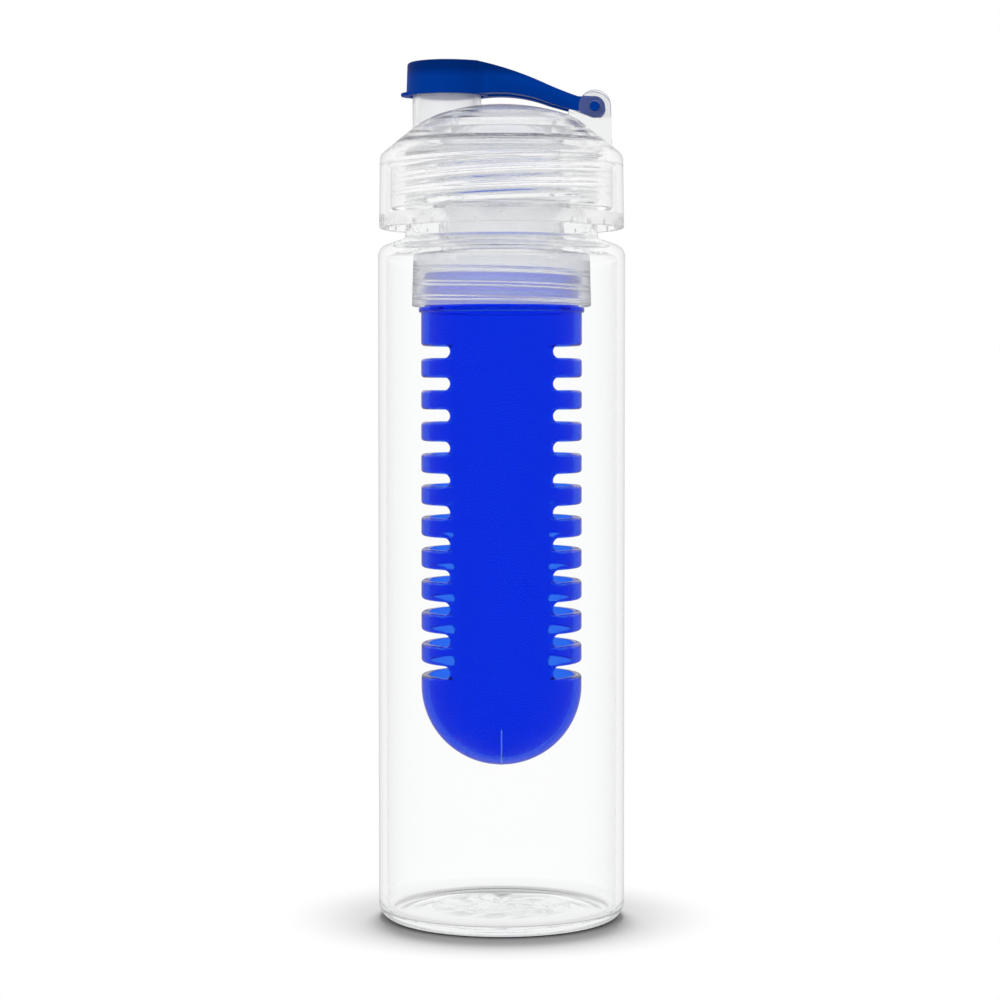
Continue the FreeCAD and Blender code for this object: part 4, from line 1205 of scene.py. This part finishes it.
def cell_side(radius, rounding, depth):
    """Loops of points on one side of the wall, from the patch's border over the lip into the slot."""
    edge = [(math.asin(y / radius), z) for y, z in slot_loop(rounding)]
    for share in CELL_SHARES:
        spots = [Vector(start).lerp(Vector(stop), share) for start, stop in zip(cell_border(), edge)]
        yield [(radius * math.cos(angle), radius * math.sin(angle), z) for angle, z in spots]
    for step in range(LIP_STEPS + 1):
        turn = QUARTER_TURN * step / LIP_STEPS
        level = radius + depth * (1 - math.cos(turn))
        spread = rounding * (1 - math.sin(turn))
        yield [(math.sqrt(level ** 2 - y ** 2), y, z) for y, z in slot_loop(spread)]


def make_slot_cell():
    """One patch of the basket's wall with a slot through it, whose edges are rounded inside and out."""
    outside = list(cell_side(BASKET_RADIUS, SLOT_ROUND, -SLOT_ROUND))
    inside = list(cell_side(BASKET_BORE, SLOT_INNER_ROUND, SLOT_INNER_ROUND))
    shape = bmesh.new()
    loops = [[shape.verts.new(spot) for spot in loop] for loop in outside + inside[::-1]]
    for first, second in zip(loops, loops[1:]):
        bridge(shape, first, second)
    return piece("slot_cells", mesh_from(shape, "slot_cells"), blue_basket)


def basket_shell(outline):
    """The turned part of the basket around its slotted patches."""
    patch = [CELL_REACH * (2 * step / CELL_ACROSS - 1) for step in range(CELL_ACROSS)]
    strip = [CELL_REACH + (HALF_TURN - 2 * CELL_REACH) * step / STRIP_STEPS for step in range(STRIP_STEPS)]
    half = patch + strip
    angles = half + [angle + HALF_TURN for angle in half]
    beside = [place for place in range(len(angles)) if place % len(half) >= CELL_ACROSS]
    shape = bmesh.new()
    rings = [ring(shape, spot, angles) for spot in outline]
    for (_, start), (_, stop), lower, upper in zip(outline, outline[1:], rings, rings[1:]):
        slotted = SLOTS_LOW < (start + stop) / 2 < SLOTS_HIGH
        bridge(shape, lower, upper, beside if slotted else None)
    loose = [corner for corner in shape.verts if not corner.link_faces]
    bmesh.ops.delete(shape, geom=loose, context="VERTS")
    return piece("slotted_basket", mesh_from(shape, "slotted_basket"), blue_basket)


def bowl_arc(radius, angles):
    """Points (distance, height) about the bowl's centre, with angles from straight down."""
    return [(radius * math.sin(angle), BOWL_CENTRE - radius * math.cos(angle)) for angle in angles]


def make_mould_line():
    """The fine raised line that the mould leaves up the front of the bowl, from past its lowest point."""
    sweep = MOULD_LINE_REACH + MOULD_LINE_END
    angles = [sweep * step / BOWL_STEPS - MOULD_LINE_REACH for step in range(BOWL_STEPS + 1)]
    ridge = bowl_arc(BASKET_RADIUS + MOULD_LINE_RISE, angles)
    root = bowl_arc(BASKET_RADIUS - BASKET_WALL / 2, reversed(angles))
    # The ridge is real, and its paler blue is a painted highlight.
    line = prism("mould_line", ridge + root, MOULD_LINE_HALF_WIDTH, mould_line_painted_highlight)
    line.data.transform(Matrix.Rotation(QUARTER_TURN, 4, "Z"))
    return line


def make_basket():
    """A round-bottomed cup with a ladder of slots through both sides and a thread on its neck."""
    angles = [QUARTER_TURN * step / BOWL_STEPS for step in range(BOWL_STEPS)]
    rows = [SLOTS_LOW + SLOT_PITCH * step / CELL_RISE for step in range(SLOT_COUNT * CELL_RISE + 1)]
    heights = [BOWL_CENTRE, *rows]
    neck = rounded([
        (BASKET_RADIUS, rows[-1]),
        (BASKET_RADIUS, BEAD_FOOT, FINE_EDGE),
        (BEAD_RADIUS, BEAD_FOOT, SOFT_EDGE),
        (BEAD_RADIUS, BEAD_TOP, SOFT_EDGE),
        (BASKET_NECK_RADIUS, BEAD_TOP, EDGE),
        (BASKET_NECK_RADIUS, BASKET_TOP, EDGE, THREAD_ROW),
        (BASKET_BORE, BASKET_TOP, EDGE),
        (BASKET_BORE, rows[-1]),
    ], closed=False)[1:-1]
    outside = bowl_arc(BASKET_RADIUS, angles) + [(BASKET_RADIUS, height) for height in heights]
    inside = bowl_arc(BASKET_BORE, angles) + [(BASKET_BORE, height) for height in heights]
    basket = basket_shell(outside + neck + inside[::-1])
    raise_thread(basket, blue_basket, BASKET_THREAD, BASKET_NECK_RADIUS, BASKET_THREAD_ENDS,
                 BASKET_THREAD_HEIGHT)
    cells = make_slot_cell()
    grow(cells, SLOTS, blue_basket, Count=SLOT_COUNT, Pitch=SLOT_PITCH, Start=SLOT_START)
    weld(basket, cells)
    carve(basket, "UNION", make_mould_line())
    # The floor's shadow stays grey.
    basket.visible_shadow = False
    mount(basket, "basket", "infuser_basket")


make_bottle()
make_gasket()
make_cap()
make_lid()
make_lid_seal()
make_pin()
make_collar()
make_basket()


# Studio

CAMERA_PLACE = (-0.45, -801.0, 156.7)
CAMERA_PITCH = math.radians(2.33)
CAMERA_RANGE = (0.01, 50.0)
LENS = 97.2
SENSOR = 36.0
FLOOR_NEAR = 40.0
FLOOR_FAR = 67.0
FLOOR_SIZE = 20000.0
FLOOR_TONES = (0.96, 0.98)
FLOOR_GRAIN = 40.0
PAINTED_GLOW_THROUGH = 0.75
MIRROR_SHARE = 0.5
SHEEN_SHARE = 0.32
FACES_PASSED = 4.0
SAME_COUNT = 0.5
LOW_SKY = 0.1
MID_SKY = 0.45
SOFT_SHARE = 0.5
WHITE = (1.0, 1.0, 1.0, 1.0)
BOUNCES = 40
CLEAR_BOUNCES = 64


def make_camera():
    data = bpy.data.cameras.new("camera")
    data.lens = LENS
    data.sensor_width = SENSOR
    data.clip_start, data.clip_end = CAMERA_RANGE
    camera = bpy.data.objects.new("camera", data)
    camera.location = Vector(CAMERA_PLACE) * MM
    camera.rotation_euler = (QUARTER_TURN - CAMERA_PITCH, 0, 0)
    bpy.context.scene.collection.objects.link(camera)
    bpy.context.scene.camera = camera


def sheen_level(nodes, path):
    """How bright the studio is for a ray: less if it passed a wall both ways and was mirrored once."""
    once = nodes.math("COMPARE", path["Glossy Depth"], 1.0, SAME_COUNT)
    behind = nodes.math("COMPARE", path["Transmission Depth"], FACES_PASSED, SAME_COUNT)
    return nodes.minus(1.0, nodes.times(nodes.times(once, behind), 1.0 - SHEEN_SHARE))


def make_floor():
    """A pale floor that takes a shadow around the bottle and runs out into the white background."""
    material = bpy.data.materials.new("pale_floor")
    nodes = empty_nodes(material)
    place = nodes.here()
    tone = nodes.ramp(nodes.noise(place, FLOOR_GRAIN), To_Min=FLOOR_TONES[0], To_Max=FLOOR_TONES[1])
    surface = nodes.add("ShaderNodeBsdfDiffuse", Color=tone)
    far = nodes.ramp(nodes.length(place), smooth=True, From_Min=FLOOR_NEAR * MM, From_Max=FLOOR_FAR * MM)
    path = nodes.add("ShaderNodeLightPath").outputs
    mirrored = nodes.times(path["Is Glossy Ray"], nodes.minus(1.0, path["Is Transmission Ray"]))
    level = nodes.minus(1.0, nodes.times(mirrored, 1.0 - MIRROR_SHARE))
    level = nodes.times(level, sheen_level(nodes, path))
    glow = nodes.add("ShaderNodeEmission", Color=WHITE, Strength=level)
    # Seen through or mirrored in the clear plastic, the floor mostly glows white, which is painted light
    # over its shadow.
    through = nodes.math("MAXIMUM", path["Is Transmission Ray"], path["Is Glossy Ray"])
    paler = nodes.math("MAXIMUM", far, nodes.times(through, PAINTED_GLOW_THROUGH))
    nodes.add("ShaderNodeOutputMaterial", Surface=nodes.blend(surface.outputs[0], glow.outputs[0], paler))
    shape = bmesh.new()
    bmesh.ops.create_grid(shape, x_segments=1, y_segments=1, size=FLOOR_SIZE)
    piece("floor", mesh_from(shape, "floor"), material)


def make_world():
    """A white dome, weaker for mirrored and soft light and for the sheen inside than for what is looked at.
    The band just above the horizon keeps its full light in the sheen."""
    world = bpy.data.worlds.new("studio")
    bpy.context.scene.world = world
    nodes = empty_nodes(world)
    way = nodes.split(nodes.add("ShaderNodeTexCoord").outputs["Generated"])["Z"]
    path = nodes.add("ShaderNodeLightPath").outputs
    through = nodes.math("MAXIMUM", path["Is Camera Ray"], path["Is Transmission Ray"])
    mirrored = nodes.times(path["Is Glossy Ray"], nodes.minus(1.0, through))
    soft = nodes.minus(1.0, nodes.math("MAXIMUM", through, mirrored))
    just_above = nodes.math("COMPARE", way, (LOW_SKY + MID_SKY) / 2, (MID_SKY - LOW_SKY) / 2)
    clear = nodes.times(through, nodes.math("MAXIMUM", just_above, sheen_level(nodes, path)))
    weaker = nodes.math("ADD", nodes.times(mirrored, MIRROR_SHARE), nodes.times(soft, SOFT_SHARE))
    sky = nodes.add("ShaderNodeBackground", Color=WHITE, Strength=nodes.math("ADD", clear, weaker))
    nodes.add("ShaderNodeOutputWorld", Surface=sky.outputs[0])


def make_lamp(name, place, size, power):
    """A square lamp that is not seen itself, aimed at the middle of the bottle."""
    data = bpy.data.lights.new(name, "AREA")
    data.shape = "RECTANGLE"
    data.size = size * MM
    data.size_y = size * MM
    data.energy = power
    lamp = bpy.data.objects.new(name, data)
    lamp.location = Vector(place) * MM
    aim = Vector((0, 0, NECK_TOP / 2)) * MM - lamp.location
    lamp.rotation_euler = aim.to_track_quat("-Z", "Y").to_euler()
    lamp.visible_camera = False
    lamp.visible_glossy = False
    lamp.visible_transmission = False
    bpy.context.scene.collection.objects.link(lamp)
    return lamp


def make_lamps():
    """An overhead lamp, and a fill that lights the bottle and leaves its shadow on the floor alone."""
    make_lamp("overhead", place=(0, 470, 850), size=350, power=4.8)
    fill = make_lamp("fill", place=(-250, -900, 500), size=800, power=4.5)
    lit = bpy.data.collections.new("lit_by_fill")
    for item in bpy.context.scene.objects:
        if item.type == "MESH" and item.name != "floor":
            lit.objects.link(item)
    fill.light_linking.receiver_collection = lit


make_camera()
make_floor()
make_world()
make_lamps()

scene = bpy.context.scene
scene.view_settings.view_transform = "Standard"
scene.cycles.max_bounces = BOUNCES
scene.cycles.glossy_bounces = BOUNCES
scene.cycles.transmission_bounces = BOUNCES
scene.cycles.transparent_max_bounces = CLEAR_BOUNCES
